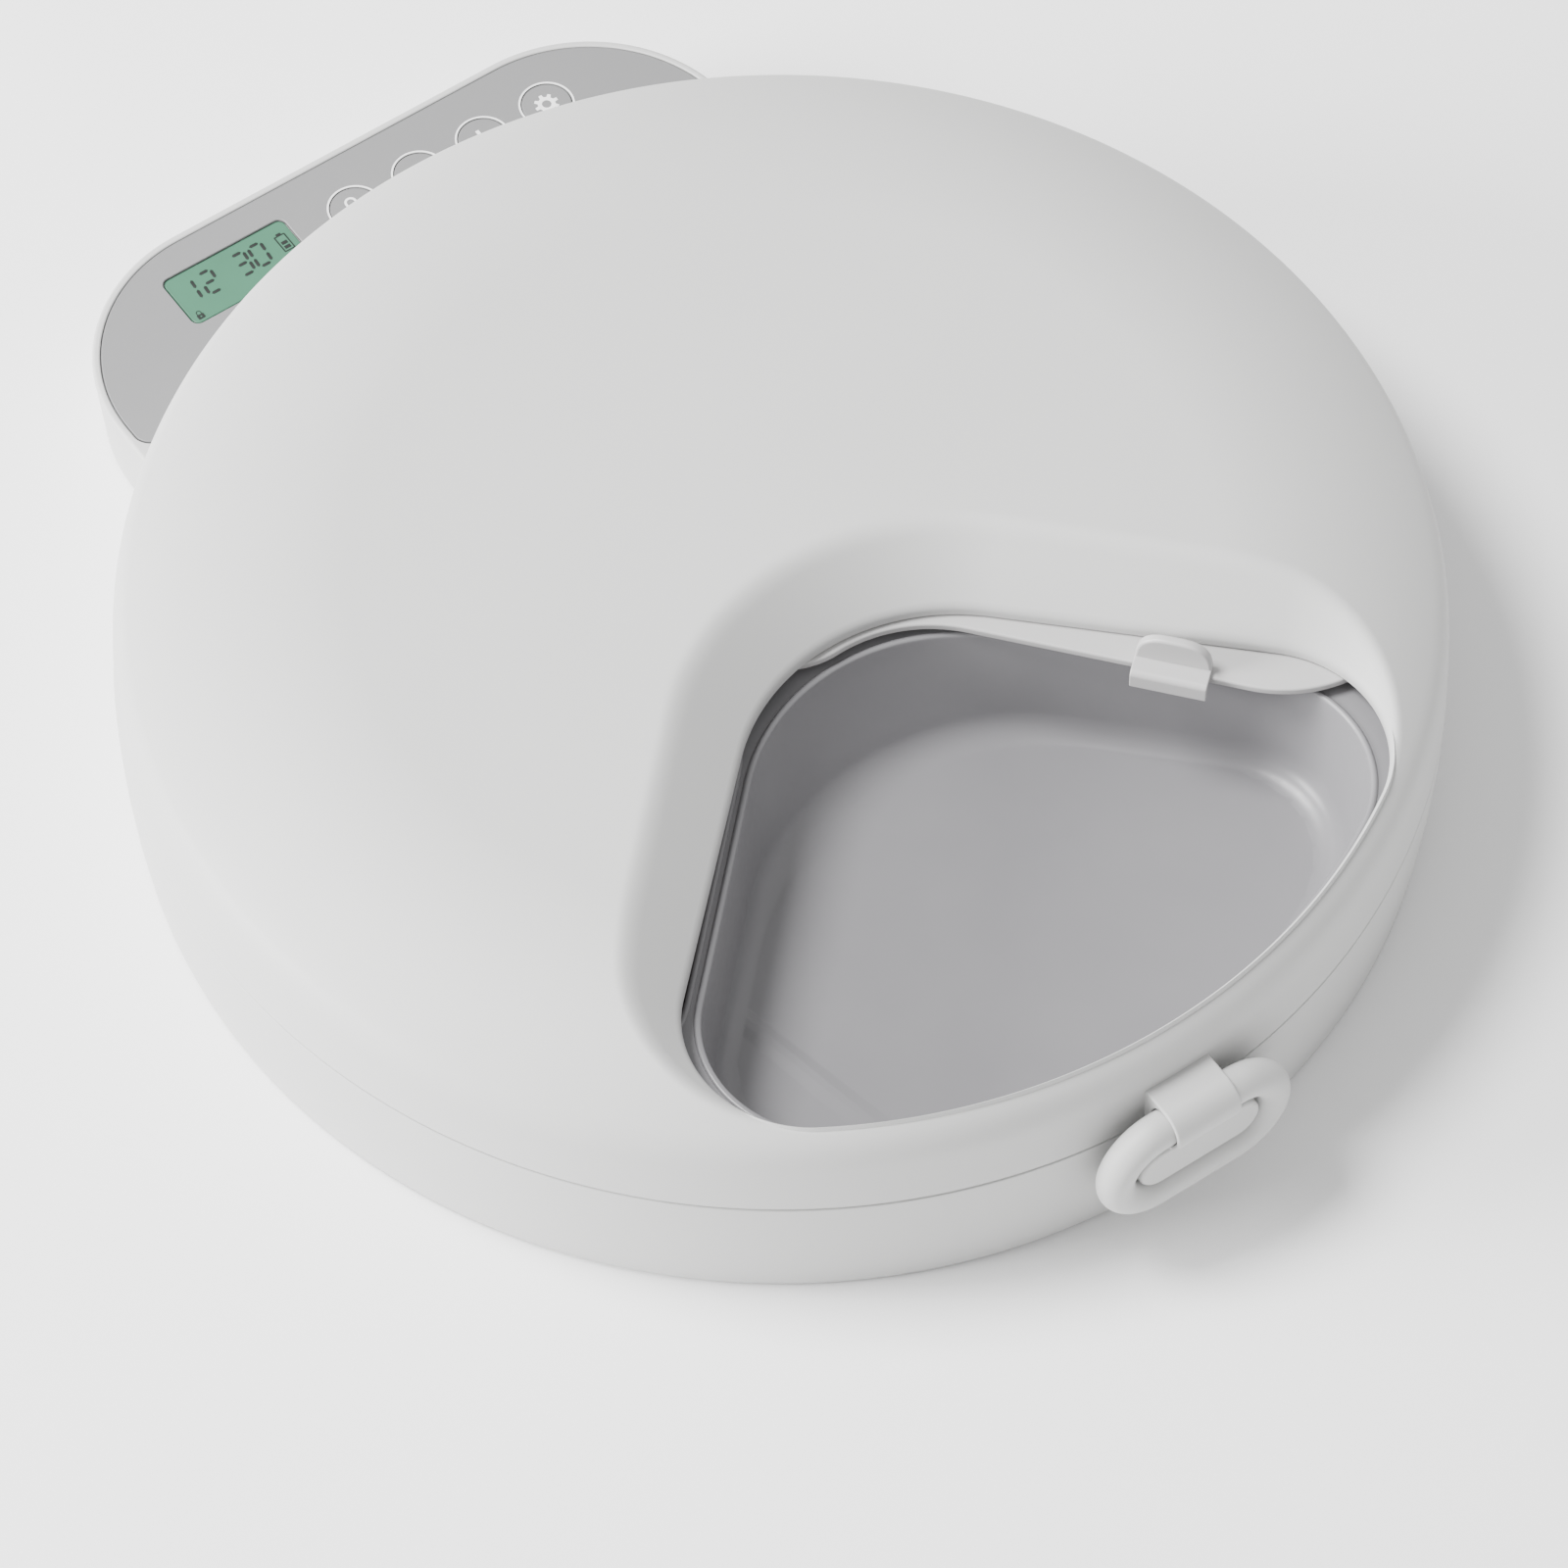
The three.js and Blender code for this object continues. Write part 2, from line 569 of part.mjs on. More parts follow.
/** A spur gear's outline; a tooth points along the azimuth phase. */
function gearOutline(teeth, phase) {
  const pitch = pitchRadius(teeth);
  const [tip, root] = [pitch + TOOTH.rise * MODULE, pitch - TOOTH.depth * MODULE];
  const { tipShare, rootShare } = TOOTH;
  const step = FULL_TURN / teeth;
  const corners = [[root, -rootShare], [tip, -tipShare], [tip, tipShare], [root, rootShare]];
  return Array.from({ length: teeth }, (_, tooth) => corners.map(([radius, share]) => {
    const angle = phase + (tooth + share) * step;
    return new THREE.Vector2(radius * Math.cos(angle), radius * Math.sin(angle));
  })).flat();
}

function gear(teeth, phase, { z, width }) {
  return prism(gearOutline(teeth, phase), z, z + width);
}

function outputGear() {
  return cut(gear(TEETH.output, 0, UPPER_GEARS), disc(HUB_BORE, 0, TURRET.z));
}

/** Both idler gears on one hub: the small one meets the output gear, the large one the pinion. */
function idlerGear() {
  const facingOutput = Math.PI + FULL_TURN / TEETH.idlerSmall / 2;
  const tall = { z: UPPER_GEARS.z - GAP, width: UPPER_GEARS.width + GAP };
  const body = joined(
    gear(TEETH.idlerLarge, PINION_BEARING, LOWER_GEARS),
    gear(TEETH.idlerSmall, facingOutput, tall),
  );
  return cut(body, disc(SHAFT_RADIUS + CLOSE_GAP, 0, TURRET.z, { facets: TINY_FACETS }));
}

function idlerAxle() {
  return disc(SHAFT_RADIUS, LOWER_GEARS.z - CLOSE_GAP, SHAFT_TOP, { facets: TINY_FACETS });
}

function motorPinion() {
  const facingIdler = PINION_BEARING + Math.PI + FULL_TURN / TEETH.pinion / 2;
  const bottom = GEARBOX_PLATE.z - SHAFT_SINK;
  const shaft = disc(SHAFT_RADIUS, bottom, LOWER_GEARS.z + FUSE, { facets: TINY_FACETS });
  return joined(gear(TEETH.pinion, facingIdler, LOWER_GEARS), shaft);
}

function spindle() {
  return joined(
    disc(SPINDLE.radius, SPINDLE.bottom, SPINDLE.dogZ),
    disc(SPINDLE.radius, SPINDLE.dogZ - FUSE, SPINDLE.top, { facets: HEX }),
  );
}

function gearboxPlate() {
  const { z, thick } = GEARBOX_PLATE;
  const plate = disc(TURRET.radius - TURRET_WALL - GAP, z, z + thick, { facets: MIDDLE_FACETS });
  return cut(plate, disc(SHAFT_RADIUS + CLOSE_GAP, 0, TURRET.z, { ...PINION, facets: TINY_FACETS }));
}

function driveMotor() {
  const top = GEARBOX_PLATE.z - CLOSE_GAP;
  const shaftBottom = GEARBOX_PLATE.z - SHAFT_SINK;
  return cut(
    disc(MOTOR.radius, MOTOR.bottom, top),
    disc(SHAFT_RADIUS + CLOSE_GAP, shaftBottom - CLOSE_GAP, top + CUT, { facets: TINY_FACETS }),
  );
}

// ---------------------------------------------------------------- batteries

const cellX = Array.from({ length: CELL.count }, (_, i) => (i - (CELL.count - 1) / 2) * CELL_PITCH);
const CELL_FRONT = BAY.front + CELL_INSET;
const DOOR_AXIS_Y = BAY.front + CLOSE_GAP + DOOR_TAIL;

/** One cell along Y with its contact nub at the +Y end when forward is true. */
function cell(forward) {
  const body = CELL.length - CELL.nubRise;
  const profile = [
    [0, 0], [CELL.radius, 0], [CELL.radius, body],
    [CELL.nub, body], [CELL.nub, CELL.length], [0, CELL.length],
  ];
  const upright = turned(profile, SMALL_FACETS).rotate([-90, 0, 0]);
  const turnedRound = forward ? upright : upright.rotate([0, 0, 180]).translate([0, CELL.length, 0]);
  return turnedRound.translate([0, CELL_FRONT, CELL_Z]);
}

function contactStrip(y) {
  const half = BAY.halfWidth - CONTACT.sideGap;
  const height = [COVER_TOP + CONTACT.footGap, BAY.ceiling - CONTACT.topGap];
  return block([-half, half], [y, y + CONTACT.thick], height);
}

/** The door closes the bay; a short tail runs past its hinge line. */
function batteryDoor() {
  const half = BAY.halfWidth - 2 * CLOSE_GAP;
  const front = DOOR_AXIS_Y - DOOR_TAIL + CLOSE_GAP;
  const panel = block([-half, half], [front, BAY.rear - 2 * CLOSE_GAP], [COVER_Z, COVER_TOP - GAP]);
  const grip = block(
    [-DOOR_GRIP.halfWidth, DOOR_GRIP.halfWidth],
    [BAY.rear - DOOR_GRIP.front, BAY.rear - DOOR_GRIP.rear],
    [COVER_Z - CUT, COVER_Z + DOOR_GRIP.depth],
  );
  return cut(panel, grip);
}

// ---------------------------------------------------------------- ice packs

const ICE_Z = DECK_TOP + ICE_LIFT;

/** A kidney along an arc round the tray's axis, centred on the azimuth, mirrored for the other side. */
function icePackOutline() {
  const { mid, halfWidth, halfArc, azimuth } = ICE;
  const [from, to] = [azimuth - halfArc, azimuth + halfArc];
  const lobe = (at, start) => (
    arc(mid * Math.cos(at), mid * Math.sin(at), halfWidth, start, start + Math.PI, 10).slice(1, -1)
  );
  return [
    ...arc(0, 0, mid + halfWidth, from, to, 10),
    ...lobe(to, to),
    ...arc(0, 0, mid - halfWidth, to, from, 8),
    ...lobe(from, from + Math.PI),
  ];
}

/** A round bar that leaves the pack's front lobe along its arc. */
function neckBar(radius, from, to) {
  const end = ICE.azimuth + ICE.halfArc;
  const geometry = new THREE.CylinderGeometry(radius, radius, to - from, SMALL_FACETS);
  geometry.translate(0, (from + to) / 2, 0).rotateZ(end);
  return solid(geometry.translate(ICE.mid * Math.cos(end), ICE.mid * Math.sin(end), ICE_Z + ICE.thick / 2));
}

function icePack() {
  const top = ICE_Z + ICE.thick;
  const dimple = (share) => {
    const angle = ICE.azimuth + share * ICE.halfArc;
    const place = { x: ICE.mid * Math.cos(angle), y: ICE.mid * Math.sin(angle) };
    return disc(ICE_DIMPLE.radius, top - ICE_DIMPLE.depth, top + CUT, place);
  };
  const body = joined(
    prism(icePackOutline(), ICE_Z, top),
    neckBar(ICE_NECK.radius, ICE.halfWidth - 3 * FUSE, ICE.halfWidth + ICE_NECK.length),
  );
  return cut(body, dimple(-ICE_DIMPLE.share), dimple(ICE_DIMPLE.share));
}

function icePackCap() {
  const start = ICE.halfWidth + GAP;
  return cut(
    neckBar(ICE_CAP.radius, start, start + ICE_CAP.length),
    neckBar(ICE_NECK.radius + CLOSE_GAP, start - CUT, start + ICE_CAP.length - ICE_CAP.top + CLOSE_GAP),
  );
}

const mirroredX = (body) => body.mirror([1, 0, 0]);

// ---------------------------------------------------------------- food tray

function pocket(grow) {
  const rimTop = grow > 0 ? TRAY_RIM_Z : TRAY_RIM_Z + CUT;
  return loft([
    { outline: roundedSector(POCKET_FLOOR, grow), z: TRAY_FLOOR_Z - grow },
    { outline: roundedSector(POCKET_WAIST, grow), z: POCKET_WAIST_Z - grow / 2 },
    { outline: roundedSector(POCKET_RIM, grow), z: rimTop },
  ]);
}

function foodTray() {
  const round = (radius, z0, z1) => disc(radius, z0, z1, { facets: ROUND_FACETS });
  const rim = cut(
    round(TRAY_RADIUS, TRAY_RIM_Z - TRAY_RIM_DROP, TRAY_RIM_Z),
    round(TRAY_RADIUS - SKIN, TRAY_RIM_Z - TRAY_RIM_DROP - CUT, TRAY_RIM_Z - SKIN),
  );
  const turns = Array.from({ length: COMPARTMENTS }, (_, i) => i * FULL_TURN / COMPARTMENTS);
  const shells = turns.map((turn) => aboutZ(pocket(SKIN), turn));
  const hollows = turns.map((turn) => aboutZ(pocket(0), turn));
  const cupBottom = HUB_CUP.floorZ - HUB_CUP.floorThick;
  const bossBottom = TURRET.z + 2 * CLOSE_GAP;
  const cup = disc(HUB_CUP.radius + SKIN, cupBottom, TRAY_RIM_Z, { facets: MIDDLE_FACETS });
  const boss = disc(HUB_BOSS_RADIUS, bossBottom, cupBottom + FUSE);
  return cut(
    joined(rim, ...shells, cup, boss),
    ...hollows,
    disc(HUB_CUP.radius, HUB_CUP.floorZ, TRAY_RIM_Z + CUT, { facets: MIDDLE_FACETS }),
    disc(SPINDLE.radius + CLOSE_GAP, bossBottom - CUT, SPINDLE.top + CLOSE_GAP, { facets: HEX }),
  );
}

// ---------------------------------------------------------------- lid

const RIM_UNDERSIDE = WINDOW_Z - WINDOW_RIM;

/** The crown's profile from the lower edge to the axis, brought in by the thickness inset. */
function crownProfile(inset, steps) {
  const lowerEdge = inset > 0 ? LID_RIM_Z - CUT : LID_RIM_Z;
  const path = new THREE.Path();
  path.moveTo(SEAM_RADIUS - inset, lowerEdge);
  path.lineTo(WALL_TOP.r - inset, WALL_TOP.z);
  const diagonal = inset * Math.SQRT1_2;
  path.quadraticCurveTo(
    WALL_TURN.r - inset, WALL_TURN.z - inset / 2,
    SHOULDER.r - diagonal, SHOULDER.z - diagonal,
  );
  const [outer, inner] = CROWN_TURNS;
  path.bezierCurveTo(
    outer.r - inset / 3, outer.z - inset,
    inner.r, inner.z - inset,
    CROWN_EDGE.r, CROWN_EDGE.z - inset,
  );
  path.lineTo(0, CROWN_Z - inset);
  const points = path.getPoints(steps).map(({ x, y }) => [x, y]);
  return [[0, lowerEdge], ...points.slice(0, -1), [0, CROWN_Z - inset]];
}

/** The space of the scooped surround, from the height bottom to above the crown. */
function scoop(grow, bottom, rimZ) {
  const rise = CROWN_Z - rimZ + CUT;
  return loft([
    { outline: roundedSector(WINDOW, grow), z: bottom },
    { outline: roundedSector(WINDOW, grow), z: rimZ },
    { outline: roundedSector(WINDOW, grow + rise * FUNNEL_SLOPE), z: rimZ + rise },
  ]);
}

function lidShell() {
  const room = cut(turned(crownProfile(SKIN, 3)), scoop(SKIN, RIM_UNDERSIDE, WINDOW_Z - SKIN / 2));
  const shell = cut(turned(crownProfile(0, 5)), room);
  const post = joined(
    disc(PIVOT.post, RIM_UNDERSIDE, CROWN_EDGE.z - SKIN),
    disc(PIVOT.spigot, SHUTTER_Z - PIVOT.proud, RIM_UNDERSIDE + FUSE),
  );
  return cut(
    joined(shell, post),
    scoop(0, SHUTTER_Z - CUT, WINDOW_Z),
    disc(PIVOT.screwHole, SHUTTER_Z - CUT, RIM_UNDERSIDE + PIVOT.screwDepth, { facets: TINY_FACETS }),
  );
}

// ---------------------------------------------------------------- shutter

const SHUTTER_BORE = PIVOT.spigot + CLOSE_GAP;
const SHUTTER_TOP = SHUTTER_Z + SHUTTER_THICK;

/** A sector from the leading edge round to the trailing edge, with round outer corners. */
function shutterWing() {
  const { reach, corner } = SHUTTER;
  const tuck = Math.asin(corner / (reach - corner));
  const trail = SHUTTER_LEAD + SHUTTER_SPAN;
  const orbit = reach - corner;
  const [first, last] = [SHUTTER_LEAD + tuck, trail - tuck];
  return [
    new THREE.Vector2(0, 0),
    ...arc(orbit * Math.cos(first), orbit * Math.sin(first), corner, SHUTTER_LEAD - RIGHT_ANGLE, first, 6),
    ...arc(0, 0, reach, first, last, 12).slice(1, -1),
    ...arc(orbit * Math.cos(last), orbit * Math.sin(last), corner, last, trail + RIGHT_ANGLE, 6),
  ];
}

/** The web that rounds the corner between the hub and the leading edge. */
function shutterWeb() {
  const { hub, fillet } = SHUTTER;
  const reach = Math.sqrt((hub + fillet) ** 2 - fillet ** 2);
  const along = (distance, offset) => new THREE.Vector2(
    distance * Math.cos(SHUTTER_LEAD) + offset * Math.sin(SHUTTER_LEAD),
    distance * Math.sin(SHUTTER_LEAD) - offset * Math.cos(SHUTTER_LEAD),
  );
  const centre = along(reach, fillet);
  const tangent = centre.clone().multiplyScalar(hub / (hub + fillet));
  const corner = prism([new THREE.Vector2(0, 0), along(reach, 0), tangent], SHUTTER_Z, SHUTTER_TOP);
  const round = disc(fillet, SHUTTER_Z - CUT, SHUTTER_TOP + CUT, { x: centre.x, y: centre.y, facets: 32 });
  return cut(corner, round);
}

function shutterPlate() {
  return cut(
    joined(
      prism(shutterWing(), SHUTTER_Z, SHUTTER_TOP),
      disc(SHUTTER.hub, SHUTTER_Z, SHUTTER_TOP, { facets: 48 }),
      shutterWeb(),
    ),
    disc(SHUTTER_BORE, SHUTTER_Z - CUT, SHUTTER_TOP + CUT),
  );
}

/** A finger tab clipped over the leading edge: a shelf, an upright half-round fin and a hanging lip. */
function shutterTab() {
  const { width, shelf, overhang, setBack, lip, lipDrop } = TAB;
  const half = width / 2;
  const shelfZ = SHUTTER_TOP + CLOSE_GAP;
  const shelfTop = shelfZ + shelf;
  const outline = new THREE.Shape();
  outline.moveTo(-half, 0);
  outline.lineTo(half, 0);
  outline.bezierCurveTo(half, FIN.rise, half * FIN.roundness, FIN.rise, 0, FIN.rise);
  outline.bezierCurveTo(-half * FIN.roundness, FIN.rise, -half, FIN.rise, -half, 0);
  const bar = { depth: FIN.thick, bevelEnabled: false, curveSegments: 8 };
  const upright = new THREE.ExtrudeGeometry(outline, bar);
  upright.rotateX(RIGHT_ANGLE).translate(0, setBack + FIN.thick, shelfTop - shelf / 2);
  const body = joined(
    solid(upright),
    block([-half, half], [-overhang, setBack + FIN.thick], [shelfZ, shelfTop]),
    block([-half, half], [-overhang, lip - overhang], [shelfTop - lipDrop, shelfTop]),
  );
  return aboutZ(body.translate([TAB.reach, 0, 0]), SHUTTER_LEAD);
}

const WASHER = { radius: 6.5, thick: 1 };
const WASHER_TOP = SHUTTER_Z - PIVOT.proud - CLOSE_GAP;
const PIVOT_SCREW = { head: 3, headThick: 1.8, shank: 1.3, length: 12 };
const PIVOT_SCREW_Z = WASHER_TOP - WASHER.thick - CLOSE_GAP - PIVOT_SCREW.headThick;

function pivotWasher() {
  const bore = disc(PIVOT.screwHole, WASHER_TOP - CUT, WASHER_TOP + CUT, { facets: TINY_FACETS });
  return cut(disc(WASHER.radius, WASHER_TOP - WASHER.thick, WASHER_TOP), bore);
}

// ---------------------------------------------------------------- latch

const LATCH_CENTRE_Z = LATCH.axisZ - LATCH.endRadius;

/** A pill-shaped ring of round section; its upper bar is the hinge axis. */
function latchRing() {
  const { axisY, rod, endRadius, halfStraight } = LATCH;
  const [pathSteps, ringSteps] = [10, 8];
  const spine = [
    ...arc(halfStraight, LATCH_CENTRE_Z, endRadius, -RIGHT_ANGLE, RIGHT_ANGLE, pathSteps),
    ...arc(-halfStraight, LATCH_CENTRE_Z, endRadius, RIGHT_ANGLE, 3 * RIGHT_ANGLE, pathSteps),
  ];
  const turn = (i) => (i <= pathSteps ? -RIGHT_ANGLE + Math.PI * i / pathSteps
    : RIGHT_ANGLE + Math.PI * (i - pathSteps - 1) / pathSteps);
  const position = spine.flatMap(({ x, y: z }, i) => Array.from({ length: ringSteps }, (_, j) => {
    const angle = FULL_TURN * j / ringSteps;
    const out = rod * Math.cos(angle);
    return [x + out * Math.cos(turn(i)), axisY + rod * Math.sin(angle), z + out * Math.sin(turn(i))];
  }).flat());
  const index = [];
  for (let i = 0; i < spine.length; i++) {
    for (let j = 0; j < ringSteps; j++) {
      const a = i * ringSteps + j;
      const b = i * ringSteps + (j + 1) % ringSteps;
      const next = ((i + 1) % spine.length) * ringSteps;
      index.push(a, b, next + (j + 1) % ringSteps, a, next + (j + 1) % ringSteps, next + j);
    }
  }
  const geometry = new THREE.BufferGeometry();
  geometry.setAttribute('position', new THREE.Float32BufferAttribute(position, 3));
  geometry.setIndex(index);
  return solid(geometry);
}

/** The sleeve that holds the ring's upper bar and the pill-shaped boss that fills the ring. */
function latchBracket() {
  const { axisY, axisZ, rod, endRadius, halfStraight, depth } = LATCH;
  const bore = rod + CLOSE_GAP;
  const back = axisY + depth;
  const bossRadius = endRadius - rod - BOSS_CLEARANCE;
  const pill = [
    ...arc(halfStraight, LATCH_CENTRE_Z, bossRadius, -RIGHT_ANGLE, RIGHT_ANGLE, 8),
    ...arc(-halfStraight, LATCH_CENTRE_Z, bossRadius, RIGHT_ANGLE, 3 * RIGHT_ANGLE, 8),
  ];
  const boss = prism(pill, 0, back - BOSS_FRONT).rotate([90, 0, 0]).translate([0, back, 0]);
  const side = [-SLEEVE.halfWidth, SLEEVE.halfWidth];
  const wide = [-SLEEVE.halfWidth - CUT, SLEEVE.halfWidth + CUT];
  const sleeve = joined(
    crossBar(SLEEVE.radius, SLEEVE.halfWidth, axisY, axisZ),
    block(side, [axisY, back], [axisZ, SLEEVE_TOP]),
    block(side, [BOSS_FRONT, back], [axisZ - SLEEVE.radius - FUSE, axisZ - rod]),
  );
  const bodyWall = turned([
    [0, FOOT_DROP], ...baseWall(-CLOSE_GAP, FOOT_DROP, 3),
    [SEAM_RADIUS + CLOSE_GAP, SLEEVE_TOP + CUT], [0, SLEEVE_TOP + CUT],
  ]);
  return cut(
    joined(sleeve, boss),
    crossBar(bore, SLEEVE.halfWidth + CUT, axisY, axisZ),
    block(wide, [axisY, back + CUT], [axisZ - bore, axisZ + bore]),
    bodyWall,
  );
}

// ---------------------------------------------------------------- assembly

const coverScrew = { ...SCREW, length: COVER_THICK + SCREW.length };

const feeder = new THREE.Group();
feeder.add(
  piece('base_shell', baseShell(), FINISH.whitePlastic),
  piece('bottom_cover', bottomCover(), FINISH.whitePlastic),
  ...footPlaces.map(([x, y], i) => piece(`foot_${i + 1}`, foot(), FINISH.rubber, [x, y, 0])),
  ...SCREW_PLACES.map(([x, y], i) => (
    piece(`cover_screw_${i + 1}`, screw(coverScrew), FINISH.steel, [x, y, COVER_Z])
  )),

  piece('panel_plate', panelPlate(), FINISH.panelGrey),
  piece('display_module', displayModule(), FINISH.display),
  piece('control_board', controlBoard(), FINISH.board),
  ...BUTTON_NAMES.map((name, i) => (
    piece(`switch_${name}`, boardSwitch(), FINISH.darkPlastic, [buttonX[i], CONTROL_Y, 0])
  )),
  ...BUTTON_NAMES.map((name, i) => (
    piece(`button_${name}`, buttonCap(), FINISH.panelGrey, [buttonX[i], CONTROL_Y, 0])
  )),

  piece('gearbox_plate', gearboxPlate(), FINISH.acetal),
  piece('drive_motor', driveMotor(), FINISH.steel, [PINION.x, PINION.y, 0]),
  piece('motor_pinion', motorPinion(), FINISH.acetal, [PINION.x, PINION.y, 0]),
  piece('idler_gear', idlerGear(), FINISH.acetal, [IDLER.x, IDLER.y, 0]),
  piece('idler_axle', idlerAxle(), FINISH.steel, [IDLER.x, IDLER.y, 0]),
  piece('output_gear', outputGear(), FINISH.acetal),
  piece('drive_spindle', spindle(), FINISH.acetal),

  ...cellX.map((x, i) => piece(`battery_${i + 1}`, cell(i % 2 === 0), FINISH.cellSleeve, [x, 0, 0])),
  piece('battery_contact_front', contactStrip(BAY.front + CONTACT.front), FINISH.steel),
  piece('battery_contact_rear', contactStrip(BAY.rear - CONTACT.rear), FINISH.steel),
  piece('battery_door', batteryDoor(), FINISH.whitePlastic),

  piece('ice_pack_left', icePack(), FINISH.icePlastic),
  piece('ice_pack_cap_left', icePackCap(), FINISH.icePlastic),
  piece('ice_pack_right', mirroredX(icePack()), FINISH.icePlastic),
  piece('ice_pack_cap_right', mirroredX(icePackCap()), FINISH.icePlastic),

  piece('food_tray', foodTray(), FINISH.greyPlastic),

  piece('lid_shell', lidShell(), FINISH.whitePlastic),
  piece('shutter_plate', shutterPlate(), FINISH.whitePlastic),
  piece('shutter_tab', shutterTab(), FINISH.whitePlastic),
  piece('pivot_washer', pivotWasher(), FINISH.steel),
  piece('pivot_screw', screw(PIVOT_SCREW), FINISH.steel, [0, 0, PIVOT_SCREW_Z]),

  piece('latch_bracket', latchBracket(), FINISH.whitePlastic),
  piece('latch_ring', latchRing(), FINISH.whitePlastic),
);

const rearEdge = HOUSING.cornerY + HOUSING.corner;
const frontEdge = LATCH.axisY - SLEEVE.radius;
feeder.position.y = -(rearEdge + frontEdge) / 2;

export default feeder;
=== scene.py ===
"""Automatic pet feeder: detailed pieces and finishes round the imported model.

Sizes are in millimetres about the tray's axis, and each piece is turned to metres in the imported
frame when its mesh is made.
"""
import logging
import math
from collections.abc import Callable, Iterable, Mapping
from dataclasses import dataclass, field
from enum import Enum

import bmesh
import bpy
import numpy as np
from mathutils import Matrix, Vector, geometry, kdtree


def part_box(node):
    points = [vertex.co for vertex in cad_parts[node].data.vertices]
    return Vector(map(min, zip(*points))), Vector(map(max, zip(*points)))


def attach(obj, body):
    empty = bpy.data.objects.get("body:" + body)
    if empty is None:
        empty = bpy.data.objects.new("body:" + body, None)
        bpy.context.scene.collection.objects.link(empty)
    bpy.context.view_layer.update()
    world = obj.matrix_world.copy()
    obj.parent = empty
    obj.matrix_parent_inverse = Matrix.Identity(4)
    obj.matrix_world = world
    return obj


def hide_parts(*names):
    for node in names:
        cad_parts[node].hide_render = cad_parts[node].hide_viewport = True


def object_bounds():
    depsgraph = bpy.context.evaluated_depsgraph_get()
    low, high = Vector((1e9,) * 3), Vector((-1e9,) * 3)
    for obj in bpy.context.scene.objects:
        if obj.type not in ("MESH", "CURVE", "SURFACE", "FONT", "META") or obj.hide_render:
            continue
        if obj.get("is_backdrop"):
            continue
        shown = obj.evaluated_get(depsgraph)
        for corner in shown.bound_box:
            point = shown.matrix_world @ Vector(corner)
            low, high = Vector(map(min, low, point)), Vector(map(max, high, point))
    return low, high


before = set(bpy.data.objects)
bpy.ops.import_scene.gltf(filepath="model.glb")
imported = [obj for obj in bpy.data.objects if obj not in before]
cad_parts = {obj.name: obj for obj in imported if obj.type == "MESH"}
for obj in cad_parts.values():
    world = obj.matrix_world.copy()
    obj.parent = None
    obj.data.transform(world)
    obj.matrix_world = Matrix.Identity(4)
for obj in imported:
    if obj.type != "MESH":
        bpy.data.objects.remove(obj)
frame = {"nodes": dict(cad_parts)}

CAD_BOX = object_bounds()
LOG = logging.getLogger("feeder")

MM = 0.001
RIGHT_ANGLE = math.pi / 2
FULL_TURN = 2 * math.pi
SPINDLE_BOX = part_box("drive_spindle")
AXIS_X = (SPINDLE_BOX[0].x + SPINDLE_BOX[1].x) / 2
AXIS_Y = (SPINDLE_BOX[0].y + SPINDLE_BOX[1].y) / 2

# Points of a flat face that are closer than this are one point, in millimetres.
SAME_POINT = 1e-7
# A turned skin is closed on its axis by a ring this small, in millimetres.
ON_AXIS = 1e-4
# Corners of a mesh that are closer than this are joined, in metres.
WELD = 2e-7
NO_EDGE = 1e-8

Points = np.ndarray
ToSpace = Callable[[Points], Points]


def top_of(node: str) -> float:
    """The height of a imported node's top, in millimetres."""
    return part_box(node)[1].z / MM


def bottom_of(node: str) -> float:
    """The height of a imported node's underside, in millimetres."""
    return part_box(node)[0].z / MM


def middle_of(node: str) -> tuple[float, float]:
    """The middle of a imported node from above, in millimetres about the tray's axis."""
    low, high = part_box(node)
    return ((low.x + high.x) / 2 - AXIS_X) / MM, ((low.y + high.y) / 2 - AXIS_Y) / MM


# ---------------------------------------------------------------- outlines


def arc(cx: float, cy: float, radius: float, start: float, end: float, steps: int = 24) -> Points:
    """Points on an arc.

    Args:
        cx, cy: the centre.
        radius: the arc's radius.
        start, end: azimuths from +X in radians.
        steps: how many steps the arc is cut into.

    Returns:
        steps + 1 rows of x, y.
    """
    angle = np.linspace(start, end, steps + 1)
    return np.stack([cx + radius * np.cos(angle), cy + radius * np.sin(angle)], 1)


def circle(radius: float, cx: float = 0, cy: float = 0, steps: int = 64) -> Points:
    """A closed circle without its repeated last point."""
    return arc(cx, cy, radius, 0, FULL_TURN, steps)[:-1]


def evenly(outline: Points, count: int) -> Points:
    """The closed outline walked again in equal steps.

    Args:
        outline: rows of x, y.
        count: how many points come back.

    Returns:
        count rows of x, y that start where the outline starts.
    """
    closed = np.vstack([outline, outline[:1]])
    walked = np.concatenate([[0], np.cumsum(np.linalg.norm(np.diff(closed, axis=0), axis=1))])
    keep = np.concatenate([[True], np.diff(walked) > 1e-9])
    at = np.linspace(0, walked[-1], count, endpoint=False)
    return np.stack([np.interp(at, walked[keep], closed[keep, k]) for k in (0, 1)], 1)


def normals(outline: Points) -> Points:
    """Unit vectors that point out of a counter-clockwise closed outline at its points.

    Args:
        outline: rows of x, y.

    Returns:
        One row of x, y for each point.
    """
    ahead = np.roll(outline, -1, axis=0) - outline
    behind = outline - np.roll(outline, 1, axis=0)
    along = ahead / np.linalg.norm(ahead, axis=1)[:, None] + behind / np.linalg.norm(behind, axis=1)[:, None]
    along /= np.linalg.norm(along, axis=1)[:, None]
    return np.stack([along[:, 1], -along[:, 0]], 1)


def grown(outline: Points, distance: float) -> Points:
    """The outline moved out by a distance along its normals."""
    return outline + normals(outline) * distance


